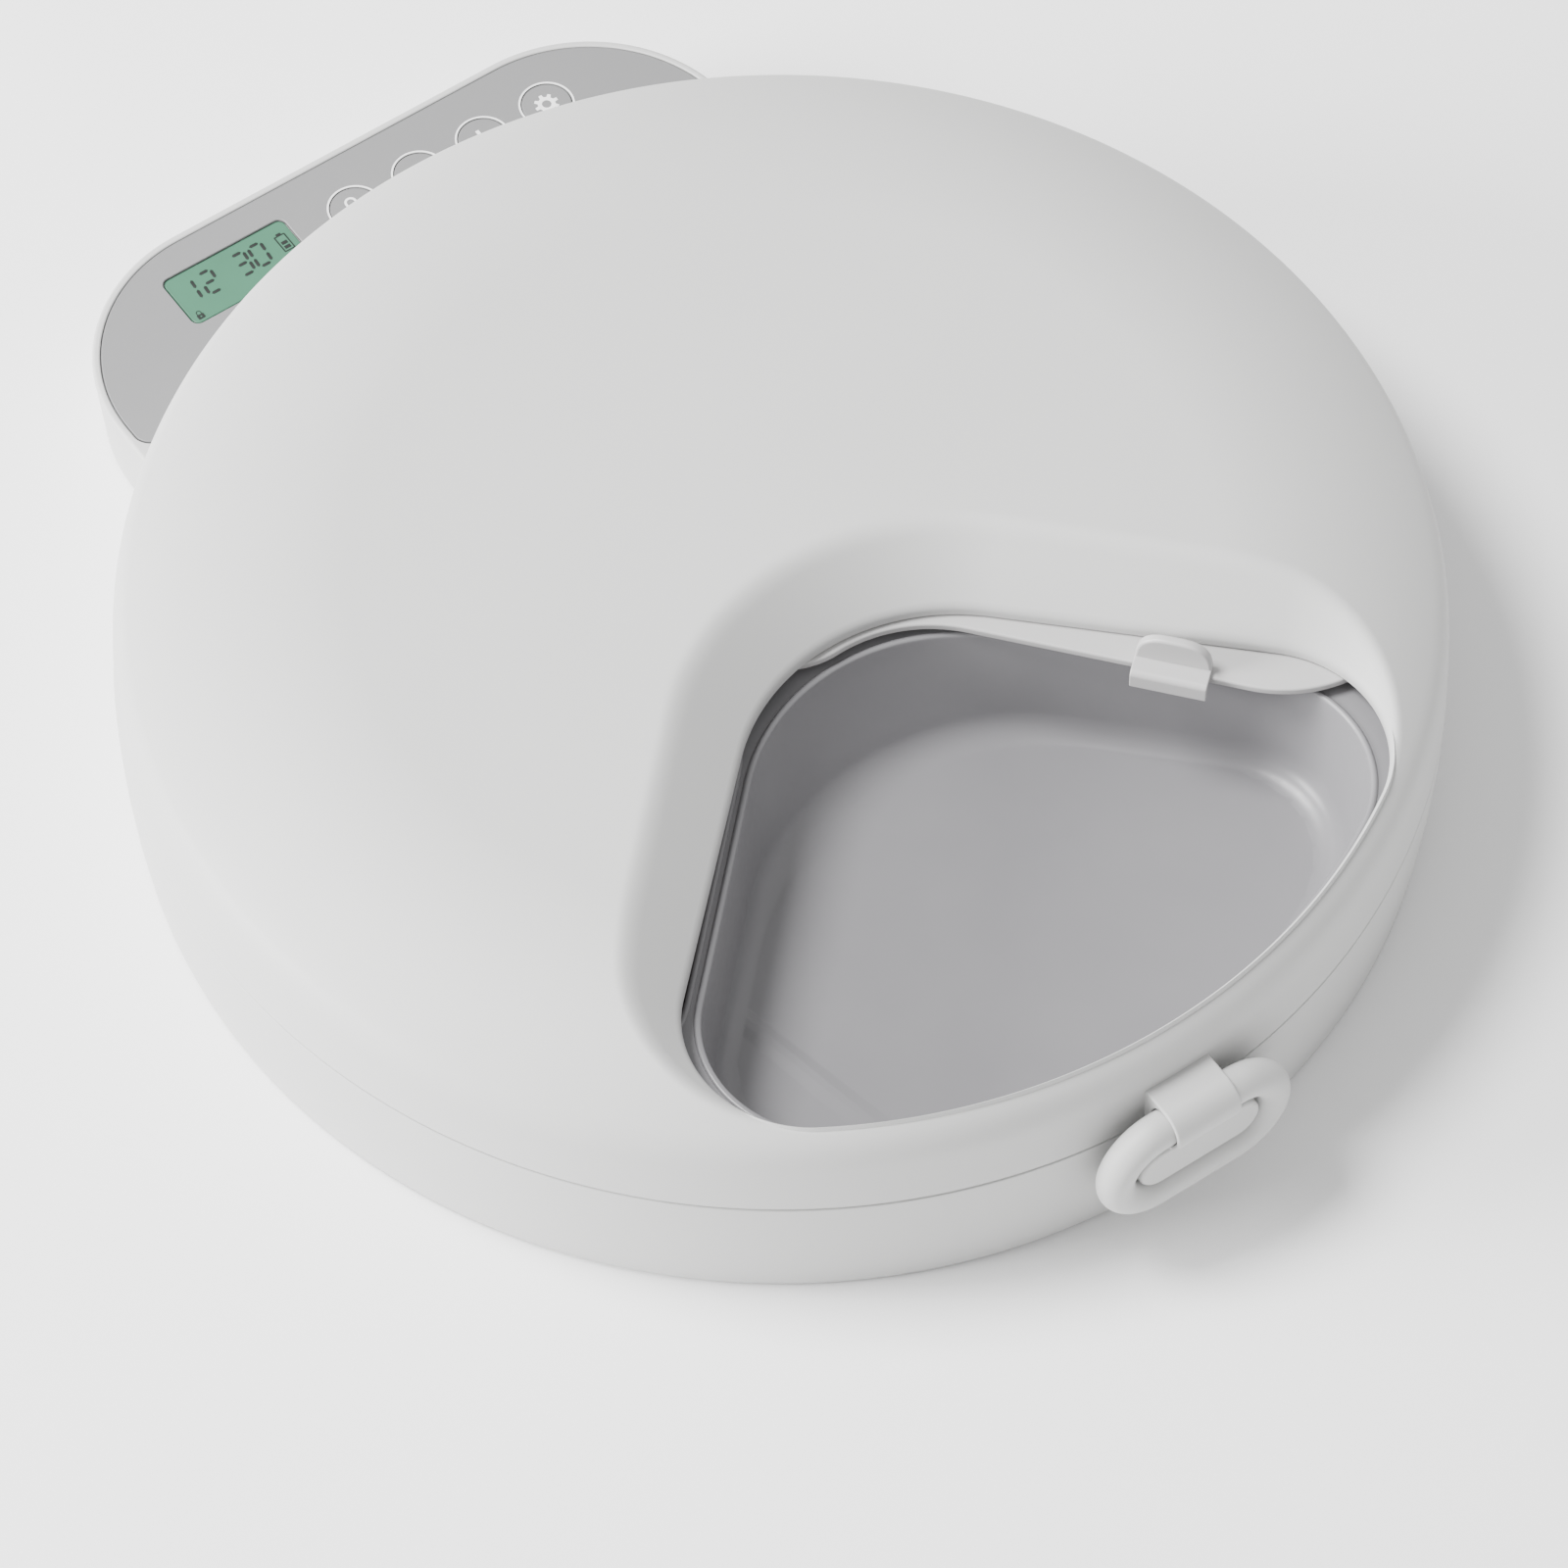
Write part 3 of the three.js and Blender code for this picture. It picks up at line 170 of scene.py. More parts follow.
def bezier(controls: Iterable[tuple[float, float]], steps: int) -> Points:
    """Points on a quadratic or cubic curve through its control points.

    Args:
        controls: three or four control points.
        steps: how many steps the curve is cut into.

    Returns:
        steps + 1 rows of x, y.
    """
    level = [np.array(c, float)[None, :] for c in controls]
    t = np.linspace(0, 1, steps + 1)[:, None]
    while len(level) > 1:
        level = [a * (1 - t) + b * t for a, b in zip(level, level[1:])]
    return level[0]


def at_height(outline: Points, z: float) -> Points:
    """The outline as x, y, z rows at one height."""
    return np.column_stack([outline, np.full(len(outline), z)])


def rectangle(
    width: float, depth: float, corner: float, cx: float = 0, cy: float = 0, steps: int = 8,
) -> Points:
    """A rectangle with round corners, counter-clockwise.

    Args:
        width, depth: its full size.
        corner: the radius of its corners.
        cx, cy: its middle.
        steps: how many steps each corner is cut into.

    Returns:
        Rows of x, y.
    """
    x, y = width / 2 - corner, depth / 2 - corner
    places = [(x, -y, -1), (x, y, 0), (-x, y, 1), (-x, -y, 2)]
    return np.vstack([
        arc(cx + px, cy + py, corner, turn * RIGHT_ANGLE, (turn + 1) * RIGHT_ANGLE, steps)
        for px, py, turn in places
    ])


def ring_at(radius: float, azimuth: Points, z: float) -> Points:
    """Points of x, y, z on a level ring at the given azimuths."""
    return at_height(np.stack([radius * np.cos(azimuth), radius * np.sin(azimuth)], 1), z)


def stood_up(rows: Points) -> Points:
    """Rows of x, y, z with the last two swapped, which stands a lying shape on its edge."""
    return rows[:, [0, 2, 1]]


@dataclass(frozen=True)
class Sector:
    """A sector centred on -Y with round corners; its sides stand side outside two radial lines."""

    half_angle: float
    side: float
    reach: float
    corner: float
    inner: float

    def outline(self, count: int = 512) -> Points:
        """The sector's outline in equal steps, counter-clockwise.

        Args:
            count: how many points come back.

        Returns:
            count rows of x, y.
        """
        half = math.radians(self.half_angle)
        orbit = self.reach - self.corner
        turn = half - math.asin((self.corner - self.side) / orbit)
        inner_orbit = (self.inner - self.side) / math.sin(half)
        left, right = -RIGHT_ANGLE - turn, -RIGHT_ANGLE + turn
        drawn = np.vstack([
            arc(0, 0, self.reach, -RIGHT_ANGLE, right, 60),
            arc(orbit * math.cos(right), orbit * math.sin(right), self.corner, right, half, 80),
            arc(0, -inner_orbit, self.inner, half, math.pi - half, 90),
            arc(
                orbit * math.cos(left), orbit * math.sin(left), self.corner,
                math.pi - half, FULL_TURN + left, 80,
            ),
            arc(0, 0, self.reach, left, -RIGHT_ANGLE, 60)[:-1],
        ])
        return evenly(drawn, count)


def quarter_round(radius: float, steps: int = 5) -> list[tuple[float, float]]:
    """(inset, drop) pairs from the top face to the side face of a rounded edge."""
    angles = [RIGHT_ANGLE * i / steps for i in range(steps + 1)]
    return [(radius * (1 - math.sin(a)), radius * (1 - math.cos(a))) for a in angles]


# ---------------------------------------------------------------- meshes


@dataclass
class Form:
    """Points and faces in millimetres about the tray's axis, on their way to be one piece."""

    points: list[Points] = field(default_factory=list)
    faces: list[tuple[int, ...]] = field(default_factory=list)
    count: int = 0

    def keep(self, rows: Points) -> int:
        """Adds points and returns the index of the first.

        Args:
            rows: rows of x, y, z.

        Returns:
            The index of the first one.
        """
        first = self.count
        self.points.append(np.asarray(rows, float))
        self.count += len(rows)
        return first

    def band(self, rows: list[Points]) -> None:
        """Faces between closed rows of x, y, z that all have the same length.

        Args:
            rows: closed rows of x, y, z, each as long as the others.
        """
        width = len(rows[0])
        first = self.keep(np.vstack(rows))
        for level in range(len(rows) - 1):
            low = first + level * width
            for i in range(width):
                j = (i + 1) % width
                self.faces.append((low + i, low + j, low + width + j, low + width + i))

    def cap(self, outer: Points, holes: Iterable[Points] = ()) -> None:
        """A flat face inside a closed row, less the closed rows in holes.

        Args:
            outer: the closed row round the face.
            holes: closed rows round its openings.
        """
        rings = [np.asarray(outer, float), *[np.asarray(h, float) for h in holes]]
        flat = np.vstack(rings)
        first = self.keep(flat)
        edges, start = [], 0
        for ring in rings:
            size = len(ring)
            edges += [(start + i, start + (i + 1) % size) for i in range(size)]
            start += size
        corners = [Vector((p[0], p[1])) for p in flat]
        made = geometry.delaunay_2d_cdt(corners, edges, [], 0, SAME_POINT)
        back = [origin[0] if origin else -1 for origin in made[3]]
        for face in made[2]:
            ids = [back[v] for v in face]
            if -1 in ids:
                continue
            middle = flat[ids, :2].mean(0)
            if inside(middle, rings[0]) and not any(inside(middle, hole) for hole in rings[1:]):
                self.faces.append(tuple(first + v for v in ids))

    def turned(
        self, profile: Iterable[tuple[float, float]], cx: float = 0, cy: float = 0, steps: int = 96,
    ) -> None:
        """A closed skin of revolution about an upright axis; a radius of 0 closes it."""
        self.band([at_height(circle(max(r, ON_AXIS), cx, cy, steps), z) for r, z in profile])

    def slab(
        self,
        outer: Points,
        low: float,
        high: float,
        edge: float,
        holes: Iterable[Points] = (),
        to_space: ToSpace | None = None,
    ) -> None:
        """A flat plate with rounded edges.

        Args:
            outer: the plate's outline, counter-clockwise.
            low, high: where its two faces lie.
            edge: the radius of its rounded edges.
            holes: outlines of openings, counter-clockwise.
            to_space: turns rows of x, y, z of the lying plate to where it really is.
        """
        part = Form()
        rounds = quarter_round(edge)
        holes = list(holes)

        def rows_of(outline: Points, side: float) -> list[Points]:
            """The rows down one wall of the plate; side is -1 for an outer wall, 1 for a hole."""
            upper = [at_height(grown(outline, side * inset), high - drop) for inset, drop in rounds]
            lower = [at_height(grown(outline, side * inset), low + drop) for inset, drop in reversed(rounds)]
            return upper + lower

        walls = [rows_of(outer, -1), *[rows_of(hole, 1) for hole in holes]]
        for wall in walls:
            part.band(wall)
        part.cap(walls[0][0], [wall[0] for wall in walls[1:]])
        part.cap(walls[0][-1], [wall[-1] for wall in walls[1:]])
        self.merge(part, to_space)

    def merge(self, other: "Form", to_space: ToSpace | None = None) -> None:
        """Adds another form, moved by to_space where that is given."""
        rows = np.vstack(other.points)
        first = self.keep(to_space(rows) if to_space else rows)
        self.faces += [tuple(first + v for v in face) for face in other.faces]

    def tube(self, path: Points, sides: tuple[Points, Points], radius: float, steps: int = 24) -> None:
        """A closed round bar along a closed path.

        Args:
            path: the middle line as x, y, z rows.
            sides: two rows of unit vectors square to the path at each point.
            radius: the bar's radius.
            steps: facets round the bar.
        """
        angle = np.linspace(0, FULL_TURN, steps, endpoint=False)
        cos, sin = np.cos(angle), np.sin(angle)
        rows = [
            middle + radius * (np.outer(cos, across) + np.outer(sin, over))
            for middle, across, over in zip(path, *sides)
        ]
        self.band([*rows, rows[0]])


def inside(point: Points, ring: Points) -> bool:
    """Whether a point lies within a closed outline, seen from above.

    Args:
        point: x, y.
        ring: the outline's rows of x, y.

    Returns:
        True when the point lies within.
    """
    x, y = point[0], point[1]
    x0, y0 = ring[:, 0], ring[:, 1]
    x1, y1 = np.roll(x0, -1), np.roll(y0, -1)
    crosses = (y0 > y) != (y1 > y)
    with np.errstate(divide="ignore", invalid="ignore"):
        reach = x0 + (y - y0) / (y1 - y0) * (x1 - x0)
    return bool(np.count_nonzero(crosses & (reach > x)) % 2)


@dataclass(frozen=True)
class Maker:
    """What a finished piece needs besides its shape."""

    name: str
    body: str
    slot: str
    replaces: tuple[str, ...] = ()
    crease: float = 40

    def make(self, form: Form, material: bpy.types.Material) -> bpy.types.Object:
        """Makes the piece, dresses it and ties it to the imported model.

        Args:
            form: its shape.
            material: its finish.

        Returns:
            The new object.
        """
        rows = np.vstack(form.points) * MM + np.array([AXIS_X, AXIS_Y, 0])
        mesh = bpy.data.meshes.new(self.name)
        mesh.from_pydata(rows.tolist(), [], form.faces)
        shape = bmesh.new()
        shape.from_mesh(mesh)
        bmesh.ops.remove_doubles(shape, verts=shape.verts, dist=WELD)
        bmesh.ops.dissolve_degenerate(shape, dist=NO_EDGE, edges=shape.edges)
        bmesh.ops.recalc_face_normals(shape, faces=shape.faces)
        shape.to_mesh(mesh)
        shape.free()
        mesh.shade_smooth()
        mesh.set_sharp_from_angle(angle=math.radians(self.crease))
        piece = bpy.data.objects.new(self.name, mesh)
        bpy.context.scene.collection.objects.link(piece)
        shading = piece.modifiers.new("even_faces", "WEIGHTED_NORMAL")
        shading.keep_sharp = True
        mesh.materials.append(material)
        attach(piece, self.body)
        if self.replaces:
            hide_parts(*self.replaces)
        LOG.info("made %s: %d faces, on %s", self.name, len(mesh.polygons), self.body)
        return piece


# ---------------------------------------------------------------- finishes


def linear(colour: str) -> tuple[float, float, float, float]:
    """An sRGB hex colour such as "e6e6e4" as linear red, green, blue and a full alpha."""
    parts = [int(colour[i:i + 2], 16) / 255 for i in (0, 2, 4)]
    red, green, blue = [c / 12.92 if c <= 0.04045 else ((c + 0.055) / 1.055) ** 2.4 for c in parts]
    return red, green, blue, 1.0


def add(
    tree: bpy.types.NodeTree,
    kind: str,
    settings: Mapping[str | int, object] | None = None,
    links: Mapping[str | int, bpy.types.NodeSocket] | None = None,
) -> bpy.types.Node:
    """Adds one node.

    Args:
        tree: the material's node tree.
        kind: the node's type name.
        settings: values for its sockets, or for its properties where no socket has the name.
        links: sockets that feed its inputs.

    Returns:
        The new node.
    """
    made = tree.nodes.new(kind)
    for name, value in (settings or {}).items():
        if isinstance(name, int) or name in made.inputs:
            made.inputs[name].default_value = value
        else:
            setattr(made, name, value)
    for name, socket in (links or {}).items():
        tree.links.new(made.inputs[name], socket)
    return made


def per_metre(millimetres: float) -> float:
    """The texture scale that gives cells of this size."""
    return 1 / (millimetres * MM)


@dataclass(frozen=True)
class Finish:
    """A moulded, printed or turned surface: colour with slow drift, a fine grain, and gloss that varies.

    grain, drift, cells and both reliefs are in millimetres; stretch scales the pattern on each axis.
    """

    name: str
    colour: str
    drift_colour: str
    roughness: float
    roughness_spread: float
    grain: float
    relief: float
    drift: float = 55
    metallic: float = 0
    coat: float = 0
    stretch: tuple[float, float, float] = (1, 1, 1)
    cells: float = 0
    cell_relief: float = 0
    ior: float = 1.5
    coat_roughness: float = 0.08

    def material(self) -> bpy.types.Material:
        """The finish as a node material.

        Returns:
            The material, made once and then found by its name.
        """
        found = bpy.data.materials.get(self.name)
        if found:
            return found
        made = bpy.data.materials.new(self.name)
        made.use_nodes = True
        tree = made.node_tree
        tree.nodes.clear()
        shader = add(tree, "ShaderNodeBsdfPrincipled", {"Metallic": self.metallic, "Coat Weight": self.coat})
        if not self.metallic:
            shader.inputs["IOR"].default_value = self.ior
        shader.inputs["Coat Roughness"].default_value = self.coat_roughness
        place = add(tree, "ShaderNodeTexCoord")
        spread = add(tree, "ShaderNodeMapping", {"Scale": self.stretch}, {"Vector": place.outputs["Object"]})
        self.paint(tree, shader, spread.outputs["Vector"])
        add(tree, "ShaderNodeOutputMaterial", None, {"Surface": shader.outputs["BSDF"]})
        made.diffuse_color = linear(self.colour)
        return made

    def paint(self, tree: bpy.types.NodeTree, shader: bpy.types.Node, place: bpy.types.NodeSocket) -> None:
        """Links colour, roughness and relief to the shader.

        Args:
            tree: the material's node tree.
            shader: the surface shader.
            place: the socket that gives each point its place.
        """
        slow = add(
            tree, "ShaderNodeTexNoise",
            {"Scale": per_metre(self.drift), "Detail": 3.0, "Roughness": 0.5},
            {"Vector": place},
        )
        tone = add(
            tree, "ShaderNodeMix",
            {"data_type": "RGBA", 6: linear(self.colour), 7: linear(self.drift_colour)},
            {0: slow.outputs["Fac"]},
        )
        tree.links.new(shader.inputs["Base Color"], tone.outputs[2])
        fine = add(
            tree, "ShaderNodeTexNoise",
            {"Scale": per_metre(self.grain), "Detail": 4.0, "Roughness": 0.6},
            {"Vector": place},
        )
        low, high = self.roughness - self.roughness_spread, self.roughness + self.roughness_spread
        gloss = add(
            tree, "ShaderNodeMapRange",
            {"To Min": low, "To Max": high},
            {"Value": fine.outputs["Fac"]},
        )
        tree.links.new(shader.inputs["Roughness"], gloss.outputs["Result"])
        relief = add(
            tree, "ShaderNodeBump",
            {"Strength": 1.0, "Distance": self.relief * MM},
            {"Height": fine.outputs["Fac"]},
        )
        if self.cells:
            dents = add(
                tree, "ShaderNodeTexVoronoi",
                {"Scale": per_metre(self.cells), "Randomness": 1.0},
                {"Vector": place},
            )
            relief = add(
                tree, "ShaderNodeBump",
                {"Strength": 1.0, "Distance": self.cell_relief * MM},
                {"Height": dents.outputs["Distance"], "Normal": relief.outputs["Normal"]},
            )
        tree.links.new(shader.inputs["Normal"], relief.outputs["Normal"])


class Look(Enum):
    """The finishes of the feeder, each named for what the real one is."""

    # Spark-eroded ABS: an even satin white whose tooth is far under a millimetre; drawn at 0.9 mm
    # so that it still shows as a faint softness in the highlights.
    BODY = Finish(
        "abs_white_spark_eroded", "c0c0bf", "bcbcbb", 0.52, 0.05, 0.9, 0.006, cells=1.6, cell_relief=0.004,
    )
    # The same ABS polished in the tool: the shutter and finger tab catch a clearer sheen.
    GLIDE = Finish("abs_white_polished", "b8b7b6", "b3b2b2", 0.4, 0.05, 1.4, 0.003)
    # Polypropylene tray, moulded with a light polish: grey with soft, slightly wet highlights.
    TRAY = Finish("polypropylene_grey_moulded", "848385", "7b7a7d", 0.34, 0.06, 2.2, 0.006, drift=30)
    # Screen-printed polyester overlay: flat warm grey with a fine sandy tooth.
    PANEL = Finish(
        "polyester_overlay_grey_velvet", "7b7b7b", "767677", 0.62, 0.05, 0.5, 0.008,
        cells=0.6, cell_relief=0.005,
    )
    # Printed white ink: brighter and a little glossier than the overlay under it.
    INK = Finish("screen_ink_white", "f6f6f5", "eeeeee", 0.4, 0.05, 0.4, 0.004)
    # Twisted-nematic display glass: grey-green and evenly lit, with a thin clear sheen.
    GLASS = Finish("lcd_glass_green", "3a6d55", "34644d", 0.45, 0.04, 0.7, 0.001, drift=12, coat=0.1)
    # Liquid-crystal segments: near-black green with a dull face.
    SEGMENT = Finish("lcd_segment_dark", "0b100e", "101613", 0.5, 0.05, 0.5, 0.001, coat=0.05)
    # Blow-moulded polyethylene: sky blue, waxy, with slow dents in the skin.
    ICE = Finish("polyethylene_blue_blow_moulded", "7cc6f2", "6bb8ea", 0.38, 0.08, 3.0, 0.03, drift=20)
    # Thermoplastic rubber: dull grey that drinks the light.
    RUBBER = Finish("rubber_grey_moulded", "6a6a6b", "5f5f61", 0.85, 0.08, 0.6, 0.03)
    # Zinc-plated steel, rolled or turned: stretched streaks along the work.
    STEEL = Finish(
        "steel_zinc_plated", "c4c5c8", "b3b5ba", 0.3, 0.1, 0.5, 0.004, metallic=1.0, stretch=(1, 1, 0.2),
    )
    # Natural acetal gears: creamy white with a soap-like gloss.
    ACETAL = Finish("acetal_natural_moulded", "f0eee4", "e6e3d6", 0.4, 0.06, 0.8, 0.004, drift=6)
    # Glass-epoxy board under green solder mask: woven cloth shows faintly through the lacquer.
    BOARD = Finish(
        "epoxy_board_green_mask", "2f6c46", "28603e", 0.42, 0.08, 0.4, 0.01,
        drift=5, coat=0.4, cells=0.5, cell_relief=0.01,
    )
    # Glass-filled nylon: charcoal with a speckled tooth.
    DARK = Finish("nylon_black_glass_filled", "2b2b2d", "333336", 0.5, 0.1, 0.3, 0.01)
    # Printed shrink sleeve on a cell: thin glossy film over a smooth can.
    SLEEVE = Finish("pvc_sleeve_slate_shrunk", "3d4a59", "344150", 0.28, 0.06, 1.5, 0.004, drift=10, coat=0.5)
    # Sprayed studio board the feeder stands on: nearly white and quite dull.
    FLOOR = Finish("paper_white_studio", "fcfcfc", "fafafa", 0.85, 0.05, 4.0, 0.01, drift=400)

    def material(self) -> bpy.types.Material:
        """The finish's node material."""
        return self.value.material()


# ---------------------------------------------------------------- lid


@dataclass(frozen=True)
class Lid:
    """The domed lid with its scooped food window, on the lid body.

    Its rows run out from a point at heart_y inside the window. The underside takes one row in
    under_step, under_depth skins lower, and is drawn in by up to tuck_in from tuck_from outwards.
    """

    window: Sector = Sector(46, -0.3, 144.4, 28.4, 49)
    window_z: float = 59.3
    rim: float = 2.8
    slope: float = 1.165
    crease: float = 2.4
    lip: float = 1.2
    skin: float = 1.8
    seam_radius: float = 151
    wall_top: tuple[float, float] = (150.4, 48.5)
    wall_turn: tuple[float, float] = (150.3, 55.3)
    shoulder: tuple[float, float] = (146.4, 58.2)
    crown_turns: tuple[tuple[float, float], ...] = ((136, 66), (116, 71.2))
    crown_edge: tuple[float, float] = (98, 71.5)
    post: float = 6
    spigot: float = 3.2
    spigot_z: float = 53.9
    columns: int = 720
    rows: int = 128
    dense: float = 26
    heart_y: float = -80.0
    under_step: int = 8
    under_depth: float = 1.15
    tuck_from: float = 130
    tuck_over: float = 16
    tuck_in: float = 1.4
    edge: float = 0.5

    def crown(self, radius: Points) -> Points:
        """The crown's height at each radius up to the shoulder.

        Args:
            radius: how far each point is from the axis.

        Returns:
            Heights, one for each radius.
        """
        edge_r, edge_z = self.crown_edge
        top = top_of("lid_shell")
        curve = bezier([self.shoulder, *self.crown_turns, self.crown_edge], 400)[::-1]
        outer = np.interp(radius, curve[:, 0], curve[:, 1])
        return np.where(radius < edge_r, top - (top - edge_z) * (radius / edge_r) ** 2, outer)

    def height(self, x: Points, y: Points, outline: Points) -> Points:
        """The lid's top: the lower of crown and scooped surround, with a soft crease between them.

        Args:
            x, y: where the points stand.
            outline: the window's outline, in fine steps.

        Returns:
            Heights in the shape of x.
        """
        tree = kdtree.KDTree(len(outline))
        for i, (px, py) in enumerate(outline):
            tree.insert((px, py, 0), i)
        tree.balance()
        away = np.array([tree.find((px, py, 0))[2] for px, py in zip(x.ravel(), y.ravel())]).reshape(x.shape)
        dome = self.crown(np.hypot(x, y))
        bank = self.window_z + away / self.slope
        near = np.maximum(self.crease - np.abs(dome - bank), 0) / self.crease
        return np.minimum(dome, bank) - near * near * self.crease / 4

    def top_rows(self, edge: Points, outline: Points) -> Points:
        """Rows of points from the window's lip out to the shoulder.

        Args:
            edge: the row where the lip meets the surround.
            outline: the window's outline, in fine steps.

        Returns:
            Rows of x, y, z, the innermost first.
        """
        middle = np.array([0, self.heart_y])
        ray = edge - middle
        ray /= np.linalg.norm(ray, axis=1)[:, None]
        along = (middle * ray).sum(1)
        shoulder_r = self.shoulder[0]
        far = -along + np.sqrt(along ** 2 - (middle @ middle) + shoulder_r ** 2)
        near = np.linalg.norm(edge - middle, axis=1)
        span = far - near
        power = np.maximum(np.log(self.dense / span) / math.log(0.5), 1)
        share = np.linspace(0, 1, self.rows + 1)[:, None] ** power[None, :]
        reach = near[None, :] + share * span[None, :]
        x = middle[0] + reach * ray[None, :, 0]
        y = middle[1] + reach * ray[None, :, 1]
        return np.stack([x, y, self.height(x, y, outline)], 2)

    def lip_rows(self, outline: Points) -> list[Points]:
        """Rows from under the window's rim up over its rounded lip.

        Args:
            outline: the window's outline.

        Returns:
            Rows of x, y, z, the lowest first.
        """
        under = self.window_z - self.rim
        start = (self.lip, self.window_z + self.lip / self.slope)
        round_top = bezier([(0, self.window_z - self.lip), (0, self.window_z - 0.1), start], 8)
        round_low = [(0.4, under), (0.12, under + 0.12), (0, under + 0.4)]
        profile = [*round_low, *[tuple(p) for p in round_top[:-1]]]
        return [at_height(grown(outline, out), z) for out, z in profile]

    def wall_rows(self, azimuth: Points) -> list[Points]:
        """Rows down the lid's wall from under the shoulder to its lower edge.

        Args:
            azimuth: the azimuth of each point in a row.

        Returns:
            Rows of x, y, z, down the outside and up the inside.
        """
        low = bottom_of("lid_shell")
        turn = bezier([self.shoulder, self.wall_turn, self.wall_top], 12)[1:]
        top = np.array(self.wall_top)
        foot = np.array([self.seam_radius, low])
        straight = [tuple(top + (foot - top) * share) for share in (0.25, 0.5, 0.75, 0.96)]
        rounds = reversed(quarter_round(self.edge))
        edge = [(self.seam_radius - inset, low + drop) for inset, drop in rounds]
        inner = [
            (self.seam_radius - self.skin, low), (self.seam_radius - self.skin, low + 2),
            (self.wall_top[0] - self.skin, self.wall_top[1]),
            (self.shoulder[0] - 1.2, self.shoulder[1] - 2),
        ]
        profile = [*[tuple(p) for p in turn], *straight, *edge, *inner]
        return [ring_at(r, azimuth, z) for r, z in profile]

    def form(self) -> Form:
        """The whole lid as one skin, outside and in, with its pivot post.

        Returns:
            The form, ready to be made.
        """
        outline = self.window.outline(self.columns)
        edge = grown(outline, self.lip)
        top = self.top_rows(edge, self.window.outline(4 * self.columns))
        azimuth = np.arctan2(top[-1, :, 1], top[-1, :, 0])
        post_low = self.window_z - self.rim
        under = top[::self.under_step][::-1].copy()
        radius = np.hypot(under[..., 0], under[..., 1])
        tuck = np.clip((radius - self.tuck_from) / self.tuck_over, 0, 1)[..., None]
        under[..., :2] *= 1 - self.tuck_in / self.shoulder[0] * tuck
        under[..., 2] = np.maximum(under[..., 2] - self.skin * self.under_depth, post_low)
        closing = at_height(grown(outline, self.skin), post_low)
        made = Form()
        rows = [*self.lip_rows(outline), *top, *self.wall_rows(azimuth), *under, closing]
        rows.append(rows[0])
        made.band(rows)
        crown_under = top_of("lid_shell") - self.skin - 0.5
        made.turned([
            (0, self.spigot_z), (self.spigot - 0.3, self.spigot_z), (self.spigot, self.spigot_z + 0.3),
            (self.spigot, post_low), (self.post, post_low), (self.post, crown_under), (0, crown_under),
        ], steps=48)
        return made

    def build(self) -> None:
        """Makes and dresses the lid."""
        Maker("lid", "lid", "white_plastic", ("lid_shell",), 42).make(self.form(), Look.BODY.material())


# ---------------------------------------------------------------- base


@dataclass(frozen=True)
class Housing:
    """The rear control housing's outline, ended by an arc inside the round body's wall."""

    half_straight: float = 45.1
    corner_y: float = 144.1
    corner: float = 41.2
    plate_inset: float = 2.2
    plate_front: float = 157.5
    plate_fillet: float = 4.5

    def outline(self, inset: float, wall: float) -> Points:
        """The outline brought in by inset; wall is the radius of its inner end.

        Args:
            inset: how far the outline comes in.
            wall: the radius of its inner end.

        Returns:
            Rows of x, y.
        """
        radius = self.corner - inset
        edge_x = self.half_straight + radius
        turn = math.acos(edge_x / wall)
        return np.vstack([
            arc(self.half_straight, self.corner_y, radius, 0, RIGHT_ANGLE, 40),
            arc(-self.half_straight, self.corner_y, radius, RIGHT_ANGLE, math.pi, 40),
            arc(0, 0, wall, math.pi - turn, turn, 60),
        ])

    def plate(self) -> Points:
        """The grey plate's outline, with filleted ends where it meets the body.

        Returns:
            Rows of x, y.
        """
        radius = self.corner - self.plate_inset
        fillet_x = self.half_straight + radius - self.plate_fillet
        fillet_y = math.sqrt((self.plate_front + self.plate_fillet) ** 2 - fillet_x ** 2)
        turn = math.atan2(fillet_y, fillet_x)
        return np.vstack([
            arc(fillet_x, fillet_y, self.plate_fillet, turn - math.pi, 0, 12),
            arc(self.half_straight, self.corner_y, radius, 0, RIGHT_ANGLE, 40)[1:],
            arc(-self.half_straight, self.corner_y, radius, RIGHT_ANGLE, math.pi, 40),
            arc(-fillet_x, fillet_y, self.plate_fillet, math.pi, FULL_TURN - turn, 12)[1:],
            arc(0, 0, self.plate_front, math.pi - turn, turn, 60)[1:-1],
        ])


